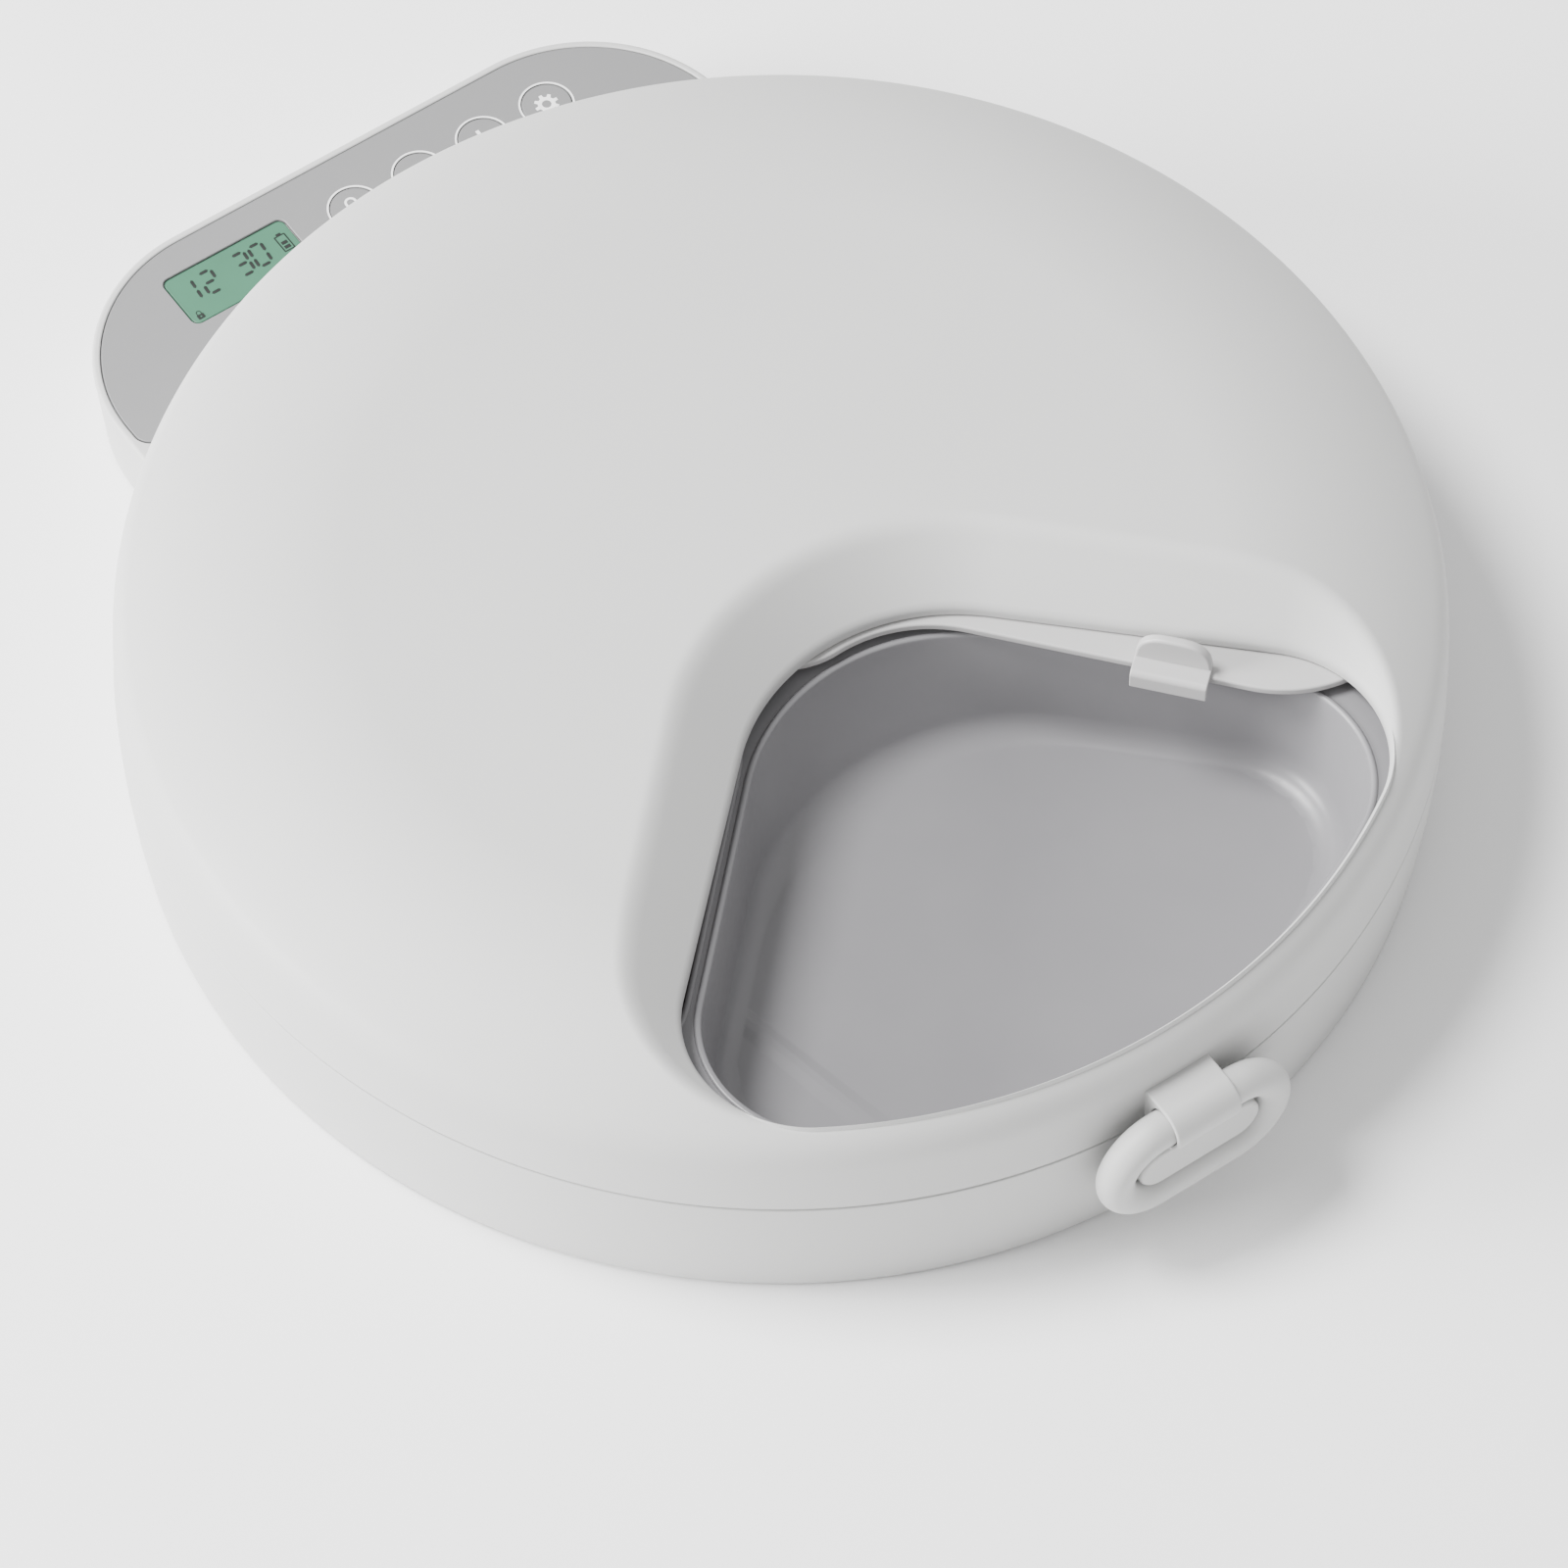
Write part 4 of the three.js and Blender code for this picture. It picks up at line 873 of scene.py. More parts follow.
@dataclass(frozen=True)
class Base:
    """The round tub with its seam lip, deck, turret, battery island and rear control housing."""

    housing: Housing = Housing()
    foot_radius: float = 148.6
    seam_radius: float = 151
    seam_z: float = 35.4
    wall: float = 2.4
    lip_radius: float = 148.8
    lip_wall: float = 2
    lip_rise: float = 3.2
    deck: tuple[float, float] = (8.6, 10.8)
    turret: tuple[float, float] = (20, 42)
    draft: float = 1.8
    rim_round: float = 0.95
    recess: float = 1.4
    cover_clear: float = 4.1
    foot_round: float = 0.9
    seam_round: float = 0.4
    lip_round: float = 0.5
    recess_clear: float = 0.3
    recess_round: float = 0.45
    spindle_bore: float = 3.8
    bay: tuple[float, float, float, float] = (81.6, 139.8, 30.8, 19.1)

    def radius_at(self, z: float | Points) -> float | Points:
        """The outside radius of the wall at a height."""
        low = bottom_of("base_shell")
        below = (self.seam_z - z) / (self.seam_z - low)
        return self.seam_radius - (self.seam_radius - self.foot_radius) * below * below

    def tub(self, made: Form) -> None:
        """The wall from its foot over the seam and lip to the deck.

        Args:
            made: the form that takes the faces.
        """
        low = bottom_of("base_shell")
        rounds = quarter_round(self.foot_round)
        foot = [(self.radius_at(low) - inset, low + drop) for inset, drop in rounds]
        rise = np.linspace(low + 2, self.seam_z - 0.5, 12)
        wall = [(self.radius_at(z), z) for z in rise]
        rounds = reversed(quarter_round(self.seam_round))
        seam = [(self.seam_radius - inset, self.seam_z - drop) for inset, drop in rounds]
        outer, inner = self.lip_radius, self.lip_radius - self.lip_wall
        lip_top, bevel = self.seam_z + self.lip_rise, self.lip_round
        lip = [
            (outer, self.seam_z), (outer, lip_top - bevel), (outer - bevel, lip_top),
            (inner + bevel, lip_top), (inner, lip_top - bevel), (inner, self.seam_z - 4),
        ]
        top = self.deck[1]
        bowl = [
            (self.seam_radius - self.wall, self.seam_z - 5), (self.radius_at(top) - self.wall - 0.2, top + 2),
            (self.radius_at(top) - self.wall - 2, top),
        ]
        skirt = [(self.foot_radius - self.wall, self.deck[0]), (self.foot_radius - self.wall, low)]
        azimuth = np.linspace(0, FULL_TURN, 512, endpoint=False)
        across = self.housing.half_straight + self.housing.corner - self.wall - self.draft
        rows = []
        for r, z in [*skirt, *foot, *wall, *seam, *lip, *bowl]:
            row = ring_at(r, azimuth, z)
            behind = (np.abs(row[:, 0]) < across) & (row[:, 1] > 0)
            row[behind, 2] = max(z, self.cover_clear)
            rows.append(row)
        made.band(rows)

    def floor(self, made: Form) -> None:
        """The deck with the battery bay's opening, the bay itself, and the turret.

        Args:
            made: the form that takes the faces.
        """
        front, rear, half, ceiling = self.bay
        middle, depth = (front + rear) / 2, rear - front
        opening = rectangle(2 * half, depth, 1.5, 0, middle)
        below, above = self.deck
        foot = circle(self.foot_radius - self.wall + 0.4, steps=256)
        made.cap(at_height(foot, below), [at_height(opening, below)])
        made.cap(at_height(circle(self.radius_at(above) - self.wall - 2, steps=512), above))
        inner = [at_height(opening, below), at_height(opening, ceiling)]
        made.band(inner)
        made.cap(inner[-1])
        made.slab(
            rectangle(2 * (half + self.wall), depth + self.wall + 6, 4, 0, middle + (6 - self.wall) / 2),
            above - 1, ceiling + 1.8, 0.9,
        )
        radius, top = self.turret
        bore, hollow, skin = self.spindle_bore, radius - 2.2, 2.2
        edge = [(radius - inset, top - drop) for inset, drop in quarter_round(1.2)]
        foot_flare = [(radius, above + 3), (radius + 2.4, above)]
        made.turned([(bore, top - 2), (bore, top), *edge, *foot_flare], steps=128)
        made.turned([(hollow, below - 8), (hollow, top - skin), (bore, top - skin)], steps=128)

    def rear(self, made: Form) -> None:
        """The control housing: drafted wall, rounded rim and the recess that takes the grey plate.

        Args:
            made: the form that takes the faces.
        """
        low, top = bottom_of("base_shell"), top_of("panel_plate")
        shell = self.housing

        def row(inset: float, z: float) -> Points:
            """One closed row round the housing; its end inside the body clears the bottom cover."""
            flat = shell.outline(inset, self.radius_at(z) - 1.2)
            inner = np.hypot(flat[:, 0], flat[:, 1]) < self.radius_at(z)
            return np.column_stack([flat, np.where(inner, max(z, self.cover_clear), z)])

        foot = [(self.draft + inset, low + drop) for inset, drop in quarter_round(self.foot_round)]
        shares = np.linspace(0.12, 0.94, 10)
        rise = [(self.draft * (1 - share), low + (top - low) * share) for share in shares]
        rim = [(inset, top - drop) for inset, drop in reversed(quarter_round(self.rim_round, 8))]
        rows = [row(self.draft + self.wall, self.cover_clear), row(self.draft + self.wall, low)]
        rows += [row(inset, z) for inset, z in [*foot, *rise, *rim]]
        made.band(rows)
        made.cap(rows[0])
        hole = grown(shell.plate(), self.recess_clear)
        rounds = quarter_round(self.recess_round)
        edge = [at_height(grown(hole, inset), top - drop) for inset, drop in rounds]
        recess = at_height(hole, top - self.recess)
        made.cap(rows[-1], [edge[0]])
        made.band([*edge, recess])
        made.cap(recess)

    def build(self) -> None:
        """Makes and dresses the base."""
        made = Form()
        self.tub(made)
        self.floor(made)
        self.rear(made)
        Maker("base", "base", "white_plastic", ("base_shell",), 42).make(made, Look.BODY.material())


# ---------------------------------------------------------------- control panel


class Sign(Enum):
    """What is printed on a button."""

    LOCK = "lock"
    MINUS = "minus"
    PLUS = "plus"
    SETTINGS = "settings"


SEGMENTS = {"0": "abcdef", "1": "bc", "2": "abged", "3": "abgcd"}


@dataclass(frozen=True)
class Panel:
    """The grey overlay plate, its display and its four round buttons."""

    housing: Housing = Housing()
    plate_edge: float = 0.25
    print_rise: float = 0.04
    ring: tuple[float, float] = (6.3, 6.75)
    cap_radius: float = 6.05
    bore: float = 6.2
    glass: tuple[float, float] = (33.5, 15)
    glass_opening: tuple[float, float] = (34.1, 15.6)
    glass_corner: float = 1.8
    glass_edge: float = 0.3
    print_sink: float = 0.01
    print_edge: float = 0.005
    digit: tuple[float, float, float] = (3.5, 6.4, 0.86)
    digit_right: tuple[float, ...] = (-49.3, -43.8, -34.6, -29.8)
    digit_y: float = 165.7
    segment_gap: float = 0.06
    lean: float = 0.08
    charge_place: tuple[float, float] = (-24.55, 168.8)
    padlock_place: tuple[float, float] = (-52.5, 161.5)
    flange: tuple[float, float] = (7.2, 1.3)
    cog_teeth: int = 8
    cog_radii: tuple[float, float, float] = (1.15, 2.15, 3.0)
    plus_arm: tuple[float, float] = (2.8, 0.45)

    def controls_y(self) -> float:
        """The line that the display and buttons sit on."""
        return middle_of("button_lock")[1]

    def plate(self) -> None:
        """The overlay plate with its openings, and a white ring round each button."""
        low, top = bottom_of("panel_plate"), top_of("panel_plate")
        x, y = middle_of("display_module")
        opening = rectangle(*self.glass_opening, self.glass_corner + 0.3, x, y)
        centres = [middle_of(f"button_{sign.value}") for sign in Sign]
        bores = [circle(self.bore, cx, cy, 64) for cx, cy in centres]
        made = Form()
        made.slab(self.housing.plate(), low, top, self.plate_edge, [opening, *bores])
        Maker("overlay_plate", "base", "panel_grey", ("panel_plate",)).make(made, Look.PANEL.material())
        rings = Form()
        inner, outer = self.ring
        for cx, cy in centres:
            rings.slab(
                circle(outer, cx, cy, 72), top - self.print_sink, top + self.print_rise, 0.01,
                [circle(inner, cx, cy, 72)],
            )
        Maker("button_rings", "base", "panel_grey").make(rings, Look.INK.material())

    def display(self) -> None:
        """The display's glass with its digits, battery sign and padlock."""
        low, top = bottom_of("display_module"), top_of("display_module")
        x, y = middle_of("display_module")
        glass = Form()
        glass.slab(rectangle(*self.glass, self.glass_corner, x, y), low, top, self.glass_edge)
        Maker("display_glass", "base", "display", ("display_module",)).make(glass, Look.GLASS.material())
        signs = Form()
        for right, number in zip(self.digit_right, "1230"):
            self.number(signs, number, right, top)
        self.charge_sign(signs, *self.charge_place, top)
        self.padlock(signs, *self.padlock_place, 0.42, top)
        Maker("display_segments", "base", "display").make(signs, Look.SEGMENT.material())

    def number(self, made: Form, number: str, right: float, top: float) -> None:
        """One seven-segment digit whose right side is at x = right.

        Args:
            made: the form that takes the faces.
            number: the digit.
            right: where its right side stands.
            top: the height of the face it lies on.
        """
        width, height, stroke = self.digit
        half, gap = stroke / 2, self.segment_gap
        bars = {
            "a": (height, 0), "g": (height / 2, 0), "d": (0, 0),
            "f": (0, 1), "b": (width, 1), "e": (0, 2), "c": (width, 2),
        }
        for name in SEGMENTS[number]:
            place, kind = bars[name]
            if kind == 0:
                start, end = half + gap, width - half - gap
                shape = [
                    (start, place), (start + half, place - half), (end - half, place - half),
                    (end, place), (end - half, place + half), (start + half, place + half),
                ]
            else:
                base = height / 2 if kind == 1 else 0
                start, end = base + half * 0.5 + gap, base + height / 2 - half * 0.5 - gap
                shape = [
                    (place, start), (place + half, start + half), (place + half, end - half),
                    (place, end), (place - half, end - half), (place - half, start + half),
                ]
            outline = np.array([(right - width + sx + self.lean * sy, self.digit_y + sy) for sx, sy in shape])
            self.printed(made, outline, top)

    def printed(self, made: Form, outline: Points, top: float, holes: Iterable[Points] = ()) -> None:
        """A thin printed shape on a face at height top."""
        made.slab(outline, top - self.print_sink, top + self.print_rise, self.print_edge, holes)

    def charge_sign(self, made: Form, cx: float, cy: float, top: float) -> None:
        """An upright battery outline with two bars.

        Args:
            made: the form that takes the faces.
            cx, cy: its middle.
            top: the height of the face it lies on.
        """
        body = rectangle(3.0, 5.2, 0.3, cx, cy - 0.2, 3)
        hollow = rectangle(2.3, 4.5, 0.1, cx, cy - 0.2, 3)
        self.printed(made, body, top, [hollow])
        self.printed(made, rectangle(1.3, 0.55, 0.1, cx, cy + 2.7, 3), top)
        for rise in (-1.55, -0.15):
            self.printed(made, rectangle(1.6, 1.0, 0.08, cx, cy + rise, 3), top)

    def padlock(self, made: Form, cx: float, cy: float, scale: float, top: float) -> None:
        """A padlock: a body with a keyhole and a shackle over it.

        Args:
            made: the form that takes the faces.
            cx, cy: the middle of its body.
            scale: its size, where 1 is a body 4.4 mm wide.
            top: the height of the face it lies on.
        """
        body = rectangle(4.4 * scale, 3.4 * scale, 0.5 * scale, cx, cy, 4)
        self.printed(made, body, top, [circle(0.55 * scale, cx, cy, 16)])
        base = cy + 1.7 * scale
        outer = np.vstack([
            arc(cx, base + 1.1 * scale, 1.6 * scale, 0, math.pi, 16),
            [(cx - 1.6 * scale, base), (cx - 1.0 * scale, base)],
            arc(cx, base + 1.1 * scale, 1.0 * scale, math.pi, 0, 12),
            [(cx + 1.0 * scale, base), (cx + 1.6 * scale, base)],
        ])
        self.printed(made, outer, top)

    def cog(self, made: Form, cx: float, cy: float, top: float) -> None:
        """A cog wheel with a round hole.

        Args:
            made: the form that takes the faces.
            cx, cy: its middle.
            top: the height of the face it lies on.
        """
        (hole, root, tip), teeth = self.cog_radii, self.cog_teeth
        points = []
        for tooth in range(teeth):
            for share, radius in ((-0.30, root), (-0.17, tip), (0.17, tip), (0.30, root)):
                angle = (tooth + share) * FULL_TURN / teeth + RIGHT_ANGLE
                points.append((cx + radius * math.cos(angle), cy + radius * math.sin(angle)))
        self.printed(made, np.array(points), top, [circle(hole, cx, cy, 32)])

    def sign(self, made: Form, sign: Sign, cx: float, cy: float, top: float) -> None:
        """The sign printed on one button.

        Args:
            made: the form that takes the faces.
            sign: which sign it is.
            cx, cy: its middle.
            top: the height of the face it lies on.
        """
        if sign is Sign.SETTINGS:
            self.cog(made, cx, cy, top)
        elif sign is Sign.LOCK:
            self.padlock(made, cx, cy - 0.7, 0.95, top)
        elif sign is Sign.MINUS:
            self.printed(made, rectangle(5.6, 0.9, 0.2, cx, cy, 3), top)
        else:
            long, wide = self.plus_arm
            corners = [
                (long, -wide), (long, wide), (wide, wide), (wide, long), (-wide, long), (-wide, wide),
                (-long, wide), (-long, -wide), (-wide, -wide), (-wide, -long), (wide, -long), (wide, -wide),
            ]
            self.printed(made, np.array([(cx + px, cy + py) for px, py in corners]), top)

    def buttons(self) -> None:
        """The four caps, each on its own key body with its sign."""
        for sign in Sign:
            node = f"button_{sign.value}"
            body = f"{sign.value}_key"
            cx, cy = middle_of(node)
            low, top = bottom_of(node), top_of(node)
            edge = [(self.cap_radius - inset, top - drop) for inset, drop in reversed(quarter_round(0.3))]
            wide, thick = self.flange
            cap = Form()
            cap.turned([
                (0, low), (wide, low), (wide, low + thick), (self.cap_radius, low + thick), *edge, (0, top),
            ], cx, cy, 72)
            Maker(f"cap_{sign.value}", body, "panel_grey", (node,)).make(cap, Look.PANEL.material())
            mark = Form()
            self.sign(mark, sign, cx, cy, top)
            Maker(f"sign_{sign.value}", body, "panel_grey").make(mark, Look.INK.material())

    def build(self) -> None:
        """Makes and dresses the panel."""
        self.plate()
        self.display()
        self.buttons()


# ---------------------------------------------------------------- food tray


@dataclass(frozen=True)
class Tray:
    """The turning tray: four deep compartments with beaded rims round a hub cup."""

    radius: float = 144.6
    plane: float = 0.6
    rim_drop: float = 6
    skin: float = 1.8
    rim: Sector = Sector(45, -2.2, 141.8, 28, 48)
    waist: Sector = Sector(45, -4.4, 138, 27, 62)
    floor: Sector = Sector(45, -9, 132, 24, 66)
    waist_z: float = 30
    floor_z: float = 24.2
    cup_radius: float = 14
    cup_z: float = 48.4
    cup_bevel: float = 0.8
    spindle_top: float = 42.6
    spindle_socket: float = 7.5
    neck: float = 1.0
    count: int = 4

    def pocket_rows(self) -> list[Points]:
        """Rows of one compartment from outside its bead to its floor.

        Returns:
            Rows of x, y, z for the compartment on -Y.
        """
        top = top_of("food_tray")
        rim, waist, floor = [s.outline(360) for s in (self.rim, self.waist, self.floor)]
        bead = [
            (1.75, -self.plane), (1.7, -0.38), (1.5, -0.14), (1.2, -0.02), (0.9, 0), (0.6, -0.05),
            (0.3, -0.2), (0.1, -0.5), (0, -self.neck),
        ]
        rows = [at_height(grown(rim, out), top + z) for out, z in bead]
        wall_top = top - self.neck
        for share in np.linspace(0, 1, 9)[1:]:
            bulge = share ** 1.15
            z = wall_top + (self.waist_z - wall_top) * share
            rows.append(at_height(rim * (1 - bulge) + waist * bulge, z))
        low = waist * 0.8 + floor * 0.2
        for share in np.linspace(0, 1, 10)[1:]:
            a, b, c = (1 - share) ** 2, 2 * share * (1 - share), share ** 2
            rows.append(at_height(
                a * waist + b * low + c * floor,
                a * self.waist_z + b * (self.floor_z + 0.6) + c * self.floor_z,
            ))
        return rows

    def form(self) -> Form:
        """The tray's whole skin.

        Returns:
            The form, ready to be made.
        """
        top = top_of("food_tray")
        plane = top - self.plane
        made = Form()
        rows = self.pocket_rows()
        hollow = [at_height(grown(r[:, :2], self.skin), r[0, 2] - self.skin) for r in rows[9:]]
        mouths = []
        for i in range(self.count):
            angle = i * FULL_TURN / self.count
            cos, sin = math.cos(angle), math.sin(angle)
            turn = np.array([[cos, sin, 0], [-sin, cos, 0], [0, 0, 1]])
            for skin in (rows, hollow):
                made.band([r @ turn for r in skin])
                made.cap(skin[-1] @ turn)
            mouths.append(rows[0] @ turn)
        cup_edge = [(self.cup_radius + inset, plane - drop) for inset, drop in quarter_round(1.0)]
        cup = [at_height(circle(r, steps=96), z) for r, z in cup_edge]
        cup.append(at_height(circle(self.cup_radius, steps=96), self.cup_z + self.cup_bevel))
        cup.append(at_height(circle(self.cup_radius - self.cup_bevel, steps=96), self.cup_z))
        made.band(cup)
        made.cap(cup[-1])
        outer_edge = [(self.radius - inset, plane - drop) for inset, drop in quarter_round(0.8)]
        flange = [
            *outer_edge, (self.radius, top - self.rim_drop), (self.radius - self.skin, top - self.rim_drop),
            (self.radius - self.skin, plane - self.skin),
        ]
        skirt = [at_height(circle(r, steps=512), z) for r, z in flange]
        made.band(skirt)
        made.cap(skirt[0], [*mouths, cup[0]])
        outer, under = self.cup_radius + self.skin, self.cup_z - 1.4
        made.turned([
            (outer, plane - self.skin), (outer, under), (self.spindle_socket, under),
            (self.spindle_socket, self.spindle_top), (0, self.spindle_top),
        ])
        return made

    def build(self) -> None:
        """Makes and dresses the tray."""
        Maker("tray", "tray", "grey_plastic", ("food_tray",), 42).make(self.form(), Look.TRAY.material())


# ---------------------------------------------------------------- shutter


@dataclass(frozen=True)
class Shutter:
    """The turning shutter plate under the lid and the finger tab on its leading edge."""

    hub: float = 21
    reach: float = 144.5
    corner: float = 32
    fillet: float = 34
    lead: float = math.radians(-49.2)
    span: float = math.radians(92)
    edge: float = 0.55
    tab_reach: float = 90
    tab_width: float = 17.6
    tab_shelf: float = 1
    tab_overhang: float = 4
    tab_back: float = 1
    tab_fin: float = 2.3
    tab_rise: float = 10.4
    tab_drop: float = 4.8
    tab_lip: float = 1.2
    tab_bend: float = 1.4
    tab_seat: float = 0.3
    fin_squash: float = 0.76
    fin_edge: float = 0.75
    bore: float = 3.5

    def outline(self) -> Points:
        """The plate's outline: leading edge, outer arc, trailing edge, hub and the web's hollow.

        Returns:
            Rows of x, y.
        """
        orbit = self.reach - self.corner
        tuck = math.asin(self.corner / orbit)
        trail = self.lead + self.span
        first, last = self.lead + tuck, trail - tuck
        web = math.sqrt((self.hub + self.fillet) ** 2 - self.fillet ** 2)
        turn = math.atan2(self.fillet, web)
        centre = self.lead - turn
        distance = self.hub + self.fillet
        near = orbit * math.cos(first), orbit * math.sin(first)
        far = orbit * math.cos(last), orbit * math.sin(last)
        return np.vstack([
            arc(*near, self.corner, self.lead - RIGHT_ANGLE, first, 40),
            arc(0, 0, self.reach, first, last, 80)[1:],
            arc(*far, self.corner, last, trail + RIGHT_ANGLE, 40)[1:],
            arc(0, 0, self.hub, trail, centre + FULL_TURN, 72),
            arc(
                distance * math.cos(centre), distance * math.sin(centre), self.fillet,
                centre + math.pi, self.lead + RIGHT_ANGLE, 28,
            )[1:],
        ])

    def plate(self) -> None:
        """The shutter's plate with rounded edges and its bore."""
        made = Form()
        made.slab(
            self.outline(), bottom_of("shutter_plate"), top_of("shutter_plate"), self.edge,
            [circle(self.bore, steps=48)],
        )
        Maker("shutter", "shutter", "white_plastic", ("shutter_plate",)).make(made, Look.GLIDE.material())

    def to_edge(self, rows: Points) -> Points:
        """Rows of (along, across, z) at the leading edge as x, y, z."""
        along, across = rows[:, 0] + self.tab_reach, rows[:, 1]
        cos, sin = math.cos(self.lead), math.sin(self.lead)
        return np.column_stack([along * cos - across * sin, along * sin + across * cos, rows[:, 2]])

    def tab(self) -> None:
        """The finger tab: a bent strip over the edge and a half-round fin."""
        half = self.tab_width / 2
        top = top_of("shutter_plate") + self.tab_seat + self.tab_shelf
        low, bend = -self.tab_overhang, self.tab_bend
        strip = np.vstack([
            [(self.tab_back + self.tab_fin, top - self.tab_shelf), (self.tab_back + self.tab_fin, top)],
            arc(low + bend, top - bend, bend, RIGHT_ANGLE, math.pi, 8),
            [(low, top - self.tab_drop), (low + self.tab_lip, top - self.tab_drop)],
            arc(low + self.tab_lip + 0.4, top - self.tab_shelf - 0.4, 0.4, math.pi, RIGHT_ANGLE, 4),
        ])
        made = Form()
        made.slab(
            strip, -half, half, 0.3,
            to_space=lambda rows: self.to_edge(np.column_stack([rows[:, 2], rows[:, 0], rows[:, 1]])),
        )
        rise = self.tab_rise
        arch = np.vstack([
            bezier([(half, 0), (half, rise), (half * 0.45, rise), (0, rise)], 20),
            bezier([(0, rise), (-half * 0.45, rise), (-half, rise), (-half, 0)], 20)[1:],
        ])
        foot = top - self.tab_shelf / 2
        fin = arch * np.array([1, self.fin_squash]) + np.array([0, foot])
        back, front = self.tab_back + self.tab_fin, self.tab_back
        made.slab(
            fin, front, back, self.fin_edge,
            to_space=lambda rows: self.to_edge(np.column_stack([rows[:, 0], rows[:, 2], rows[:, 1]])),
        )
        maker = Maker("finger_tab", "shutter", "white_plastic", ("shutter_tab",), 50)
        maker.make(made, Look.GLIDE.material())

    def build(self) -> None:
        """Makes and dresses the shutter."""
        self.plate()
        self.tab()


# ---------------------------------------------------------------- latch


@dataclass(frozen=True)
class Latch:
    """The swinging pill-shaped ring and the bracket on the lid that carries it."""

    axis_y: float = -157.3
    axis_z: float = 42
    rod: float = 4.3
    end_radius: float = 11
    half_straight: float = 10.2
    sleeve_half: float = 8.6
    sleeve_radius: float = 5.7
    boss_radius: float = 5.9
    boss_front: float = -160.2
    clearance: float = 0.3
    sleeve_back: float = 8
    sleeve_edge: float = 0.6
    boss_edge: float = 1.0

    def pill(self, radius: float, steps: int, count: int) -> Points:
        """A pill shape about the ring's middle in x, z, in equal steps.

        Args:
            radius: the radius of its ends.
            steps: how many steps each end is cut into before it is evened.
            count: how many points come back.

        Returns:
            count rows of x, z.
        """
        centre_z = self.axis_z - self.end_radius
        return evenly(np.vstack([
            arc(self.half_straight, centre_z, radius, -RIGHT_ANGLE, RIGHT_ANGLE, steps),
            arc(-self.half_straight, centre_z, radius, RIGHT_ANGLE, 3 * RIGHT_ANGLE, steps),
        ]), count)

    def ring(self) -> None:
        """The swinging ring of round bar."""
        spine = self.pill(self.end_radius, 40, 160)
        out = normals(spine)
        path = np.column_stack([spine[:, 0], np.full(len(spine), self.axis_y), spine[:, 1]])
        outward = np.column_stack([out[:, 0], np.zeros(len(out)), out[:, 1]])
        forward = np.tile([0.0, 1.0, 0.0], (len(spine), 1))
        made = Form()
        made.tube(path, (outward, forward), self.rod, 32)
        Maker("latch_loop", "latch", "white_plastic", ("latch_ring",), 60).make(made, Look.BODY.material())

    def wall_at(self, x: Points, z: Points) -> Points:
        """How far forward the body's wall stands, with the bracket's clearance."""
        base = Base()
        radius = base.radius_at(np.minimum(z, base.seam_z)) + self.clearance
        return -np.sqrt(radius ** 2 - x ** 2)

    def boss(self, made: Form) -> None:
        """Adds the pill-shaped boss that fills the ring, with a softly rounded face.

        Args:
            made: the form that takes the faces.
        """
        pill = self.pill(self.boss_radius, 32, 128)
        wall = self.wall_at(pill[:, 0], pill[:, 1])
        rows = [np.column_stack([pill[:, 0], wall, pill[:, 1]])]
        for inset, drop in reversed(quarter_round(self.boss_edge, 6)):
            rows.append(stood_up(at_height(grown(pill, -inset), self.boss_front + drop)))
        flat = Form()
        flat.cap(stood_up(rows[-1]))
        made.band(rows)
        made.merge(flat, stood_up)

    def bracket(self) -> None:
        """The sleeve round the ring's upper bar, and the boss."""
        y, z, radius = self.axis_y, self.axis_z, self.sleeve_radius
        back = y + self.sleeve_back
        profile = np.vstack([
            [(back, z - radius + 0.4)],
            [(back, z + radius)],
            arc(y, z, radius, RIGHT_ANGLE, 3 * RIGHT_ANGLE, 32),
        ])
        made = Form()
        made.slab(
            profile, -self.sleeve_half, self.sleeve_half, self.sleeve_edge,
            [circle(self.rod + self.clearance, y, z, 48)],
            to_space=lambda rows: np.column_stack([rows[:, 2], rows[:, 0], rows[:, 1]]),
        )
        self.boss(made)
        neck = rectangle(2 * self.sleeve_half, 3, 0.6, 0, z - radius + 0.3)
        made.slab(
            neck, self.boss_front + 0.2, back - 2.2, 0.4,
            to_space=stood_up,
        )
        maker = Maker("latch_mount", "lid", "white_plastic", ("latch_bracket",), 50)
        maker.make(made, Look.BODY.material())

    def build(self) -> None:
        """Makes and dresses the latch."""
        self.ring()
        self.bracket()


# ---------------------------------------------------------------- carried-over pieces


@dataclass(frozen=True)
class CarriedOver:
    """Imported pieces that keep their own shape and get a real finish."""

    looks: tuple[tuple[str, Look], ...] = (
        ("bottom_cover", Look.BODY), ("battery_door", Look.BODY), ("foot_", Look.RUBBER),
        ("cover_screw_", Look.STEEL), ("control_board", Look.BOARD), ("switch_", Look.DARK),
        ("gearbox_plate", Look.ACETAL), ("drive_motor", Look.STEEL), ("motor_pinion", Look.ACETAL),
        ("idler_gear", Look.ACETAL), ("idler_axle", Look.STEEL), ("output_gear", Look.ACETAL),
        ("drive_spindle", Look.ACETAL), ("battery_contact_", Look.STEEL), ("battery_", Look.SLEEVE),
        ("ice_pack_", Look.ICE), ("pivot_washer", Look.STEEL), ("pivot_screw", Look.STEEL),
    )

    def dress(self, nodes: Mapping[str, bpy.types.Object]) -> None:
        """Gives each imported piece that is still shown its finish.

        Args:
            nodes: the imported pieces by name.
        """
        for name, piece in sorted(nodes.items()):
            if piece.hide_render:
                continue
            look = next((look for start, look in self.looks if name.startswith(start)), Look.BODY)
            piece.data.materials.clear()
            piece.data.materials.append(look.material())
            LOG.info("dressed %s in %s", name, look.value.name)


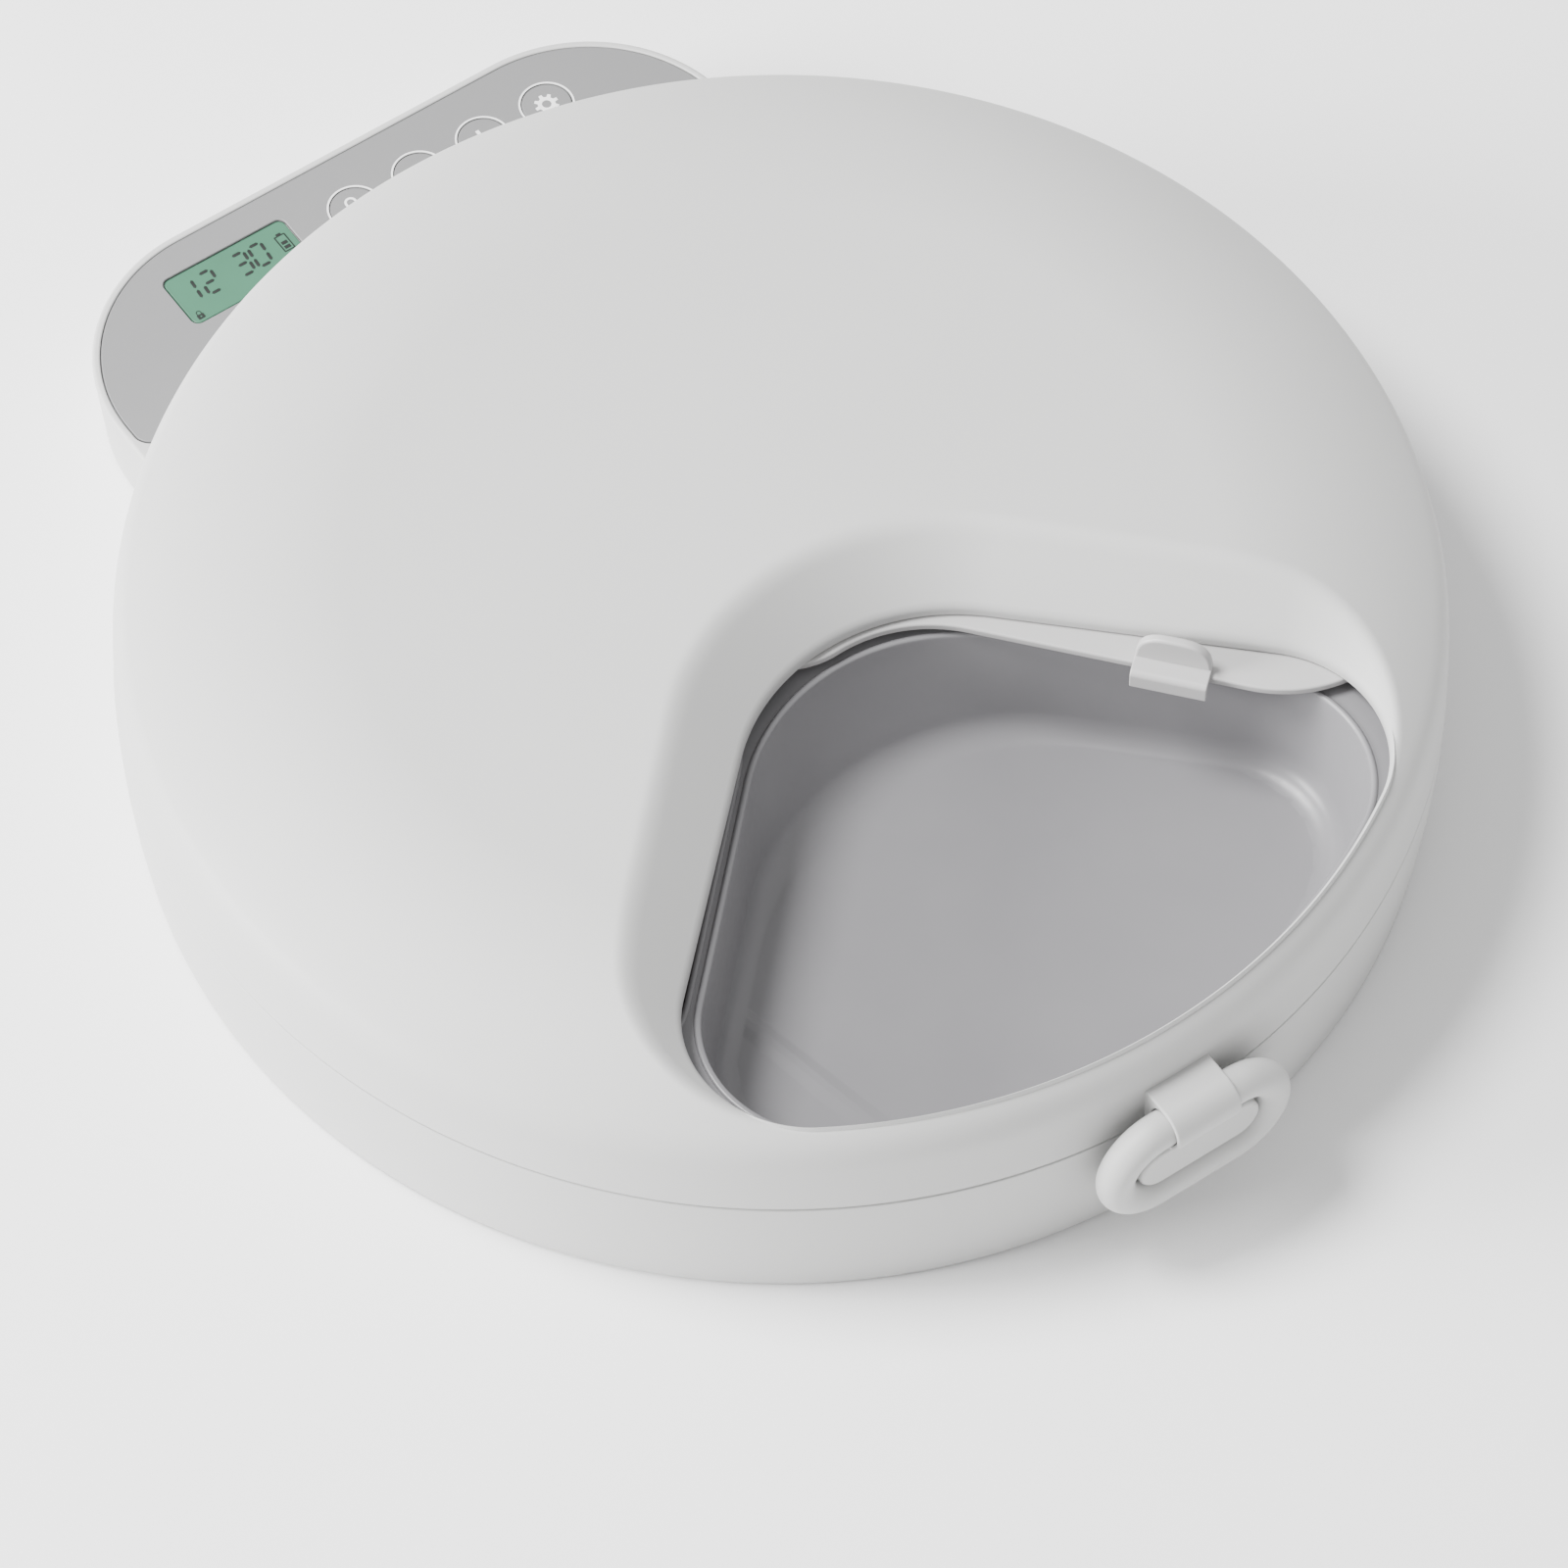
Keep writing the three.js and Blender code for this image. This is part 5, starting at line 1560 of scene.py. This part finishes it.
# ---------------------------------------------------------------- stage


@dataclass(frozen=True)
class Lamp:
    """One soft white studio lamp that looks at the feeder's middle; place and size in metres."""

    name: str
    place: tuple[float, float, float]
    size: float
    power: float

    def build(self, target: Vector) -> None:
        """Hangs the lamp.

        Args:
            target: the point it looks at.
        """
        data = bpy.data.lights.new(self.name, "AREA")
        data.shape, data.size, data.energy = "DISK", self.size, self.power
        lamp = bpy.data.objects.new(self.name, data)
        lamp.location = self.place
        lamp.rotation_mode = "QUATERNION"
        lamp.rotation_quaternion = (target - lamp.location).to_track_quat("-Z", "Y")
        bpy.context.scene.collection.objects.link(lamp)


@dataclass(frozen=True)
class Studio:
    """A pale floor, soft light and the main camera."""

    camera_place: tuple[float, float, float] = (-0.6707, -0.9686, 1.6852)
    camera_aim: tuple[float, float, float] = (0.3243, 0.4630, -0.8250)
    lens: float = 204.9
    shift: float = 0.0022
    sensor: float = 36
    clip: tuple[float, float] = (0.1, 20)
    floor_reach: float = 6
    sky: str = "ffffff"
    sky_strength: float = 0.85
    lamps: tuple[Lamp, ...] = (
        Lamp("key", (-0.75, 0.65, 1.9), 0.8, 84),
        Lamp("side", (-1.8, 0.8, 0.7), 1.0, 110),
    )

    def camera(self) -> None:
        """Sets up the main camera."""
        data = bpy.data.cameras.new("main_camera")
        data.lens, data.sensor_width, data.shift_x = self.lens, self.sensor, self.shift
        data.clip_start, data.clip_end = self.clip
        camera = bpy.data.objects.new("main_camera", data)
        camera.location = self.camera_place
        camera.rotation_mode = "QUATERNION"
        camera.rotation_quaternion = Vector(self.camera_aim).to_track_quat("-Z", "Y")
        bpy.context.scene.collection.objects.link(camera)
        bpy.context.scene.camera = camera

    def floor(self) -> None:
        """Lays the pale floor under the feeder."""
        reach = self.floor_reach
        mesh = bpy.data.meshes.new("floor")
        corners = [(-reach, -reach, 0), (reach, -reach, 0), (reach, reach, 0), (-reach, reach, 0)]
        mesh.from_pydata(corners, [], [(0, 1, 2, 3)])
        mesh.materials.append(Look.FLOOR.material())
        floor = bpy.data.objects.new("floor", mesh)
        bpy.context.scene.collection.objects.link(floor)
        floor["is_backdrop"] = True

    def sky_light(self) -> None:
        """Fills the room with even light."""
        world = bpy.data.worlds.new("studio")
        world.use_nodes = True
        back = world.node_tree.nodes["Background"]
        back.inputs["Color"].default_value = linear(self.sky)
        back.inputs["Strength"].default_value = self.sky_strength
        bpy.context.scene.world = world

    def build(self) -> None:
        """Sets up camera, floor and light."""
        low, high = CAD_BOX
        self.camera()
        self.floor()
        self.sky_light()
        for lamp in self.lamps:
            lamp.build((low + high) / 2)


def main() -> None:
    """Builds the feeder sub-assembly by sub-assembly."""
    logging.basicConfig(level=logging.INFO, format="%(name)s: %(message)s")
    for part in (Studio(), Base(), Panel(), Tray(), Lid(), Shutter(), Latch()):
        part.build()
    CarriedOver().dress(frame["nodes"])
    boxes = {"cad": CAD_BOX, "visual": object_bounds()}
    {name: [list(low), list(high)] for name, (low, high) in boxes.items()}


if __name__ == "__main__":
    main()
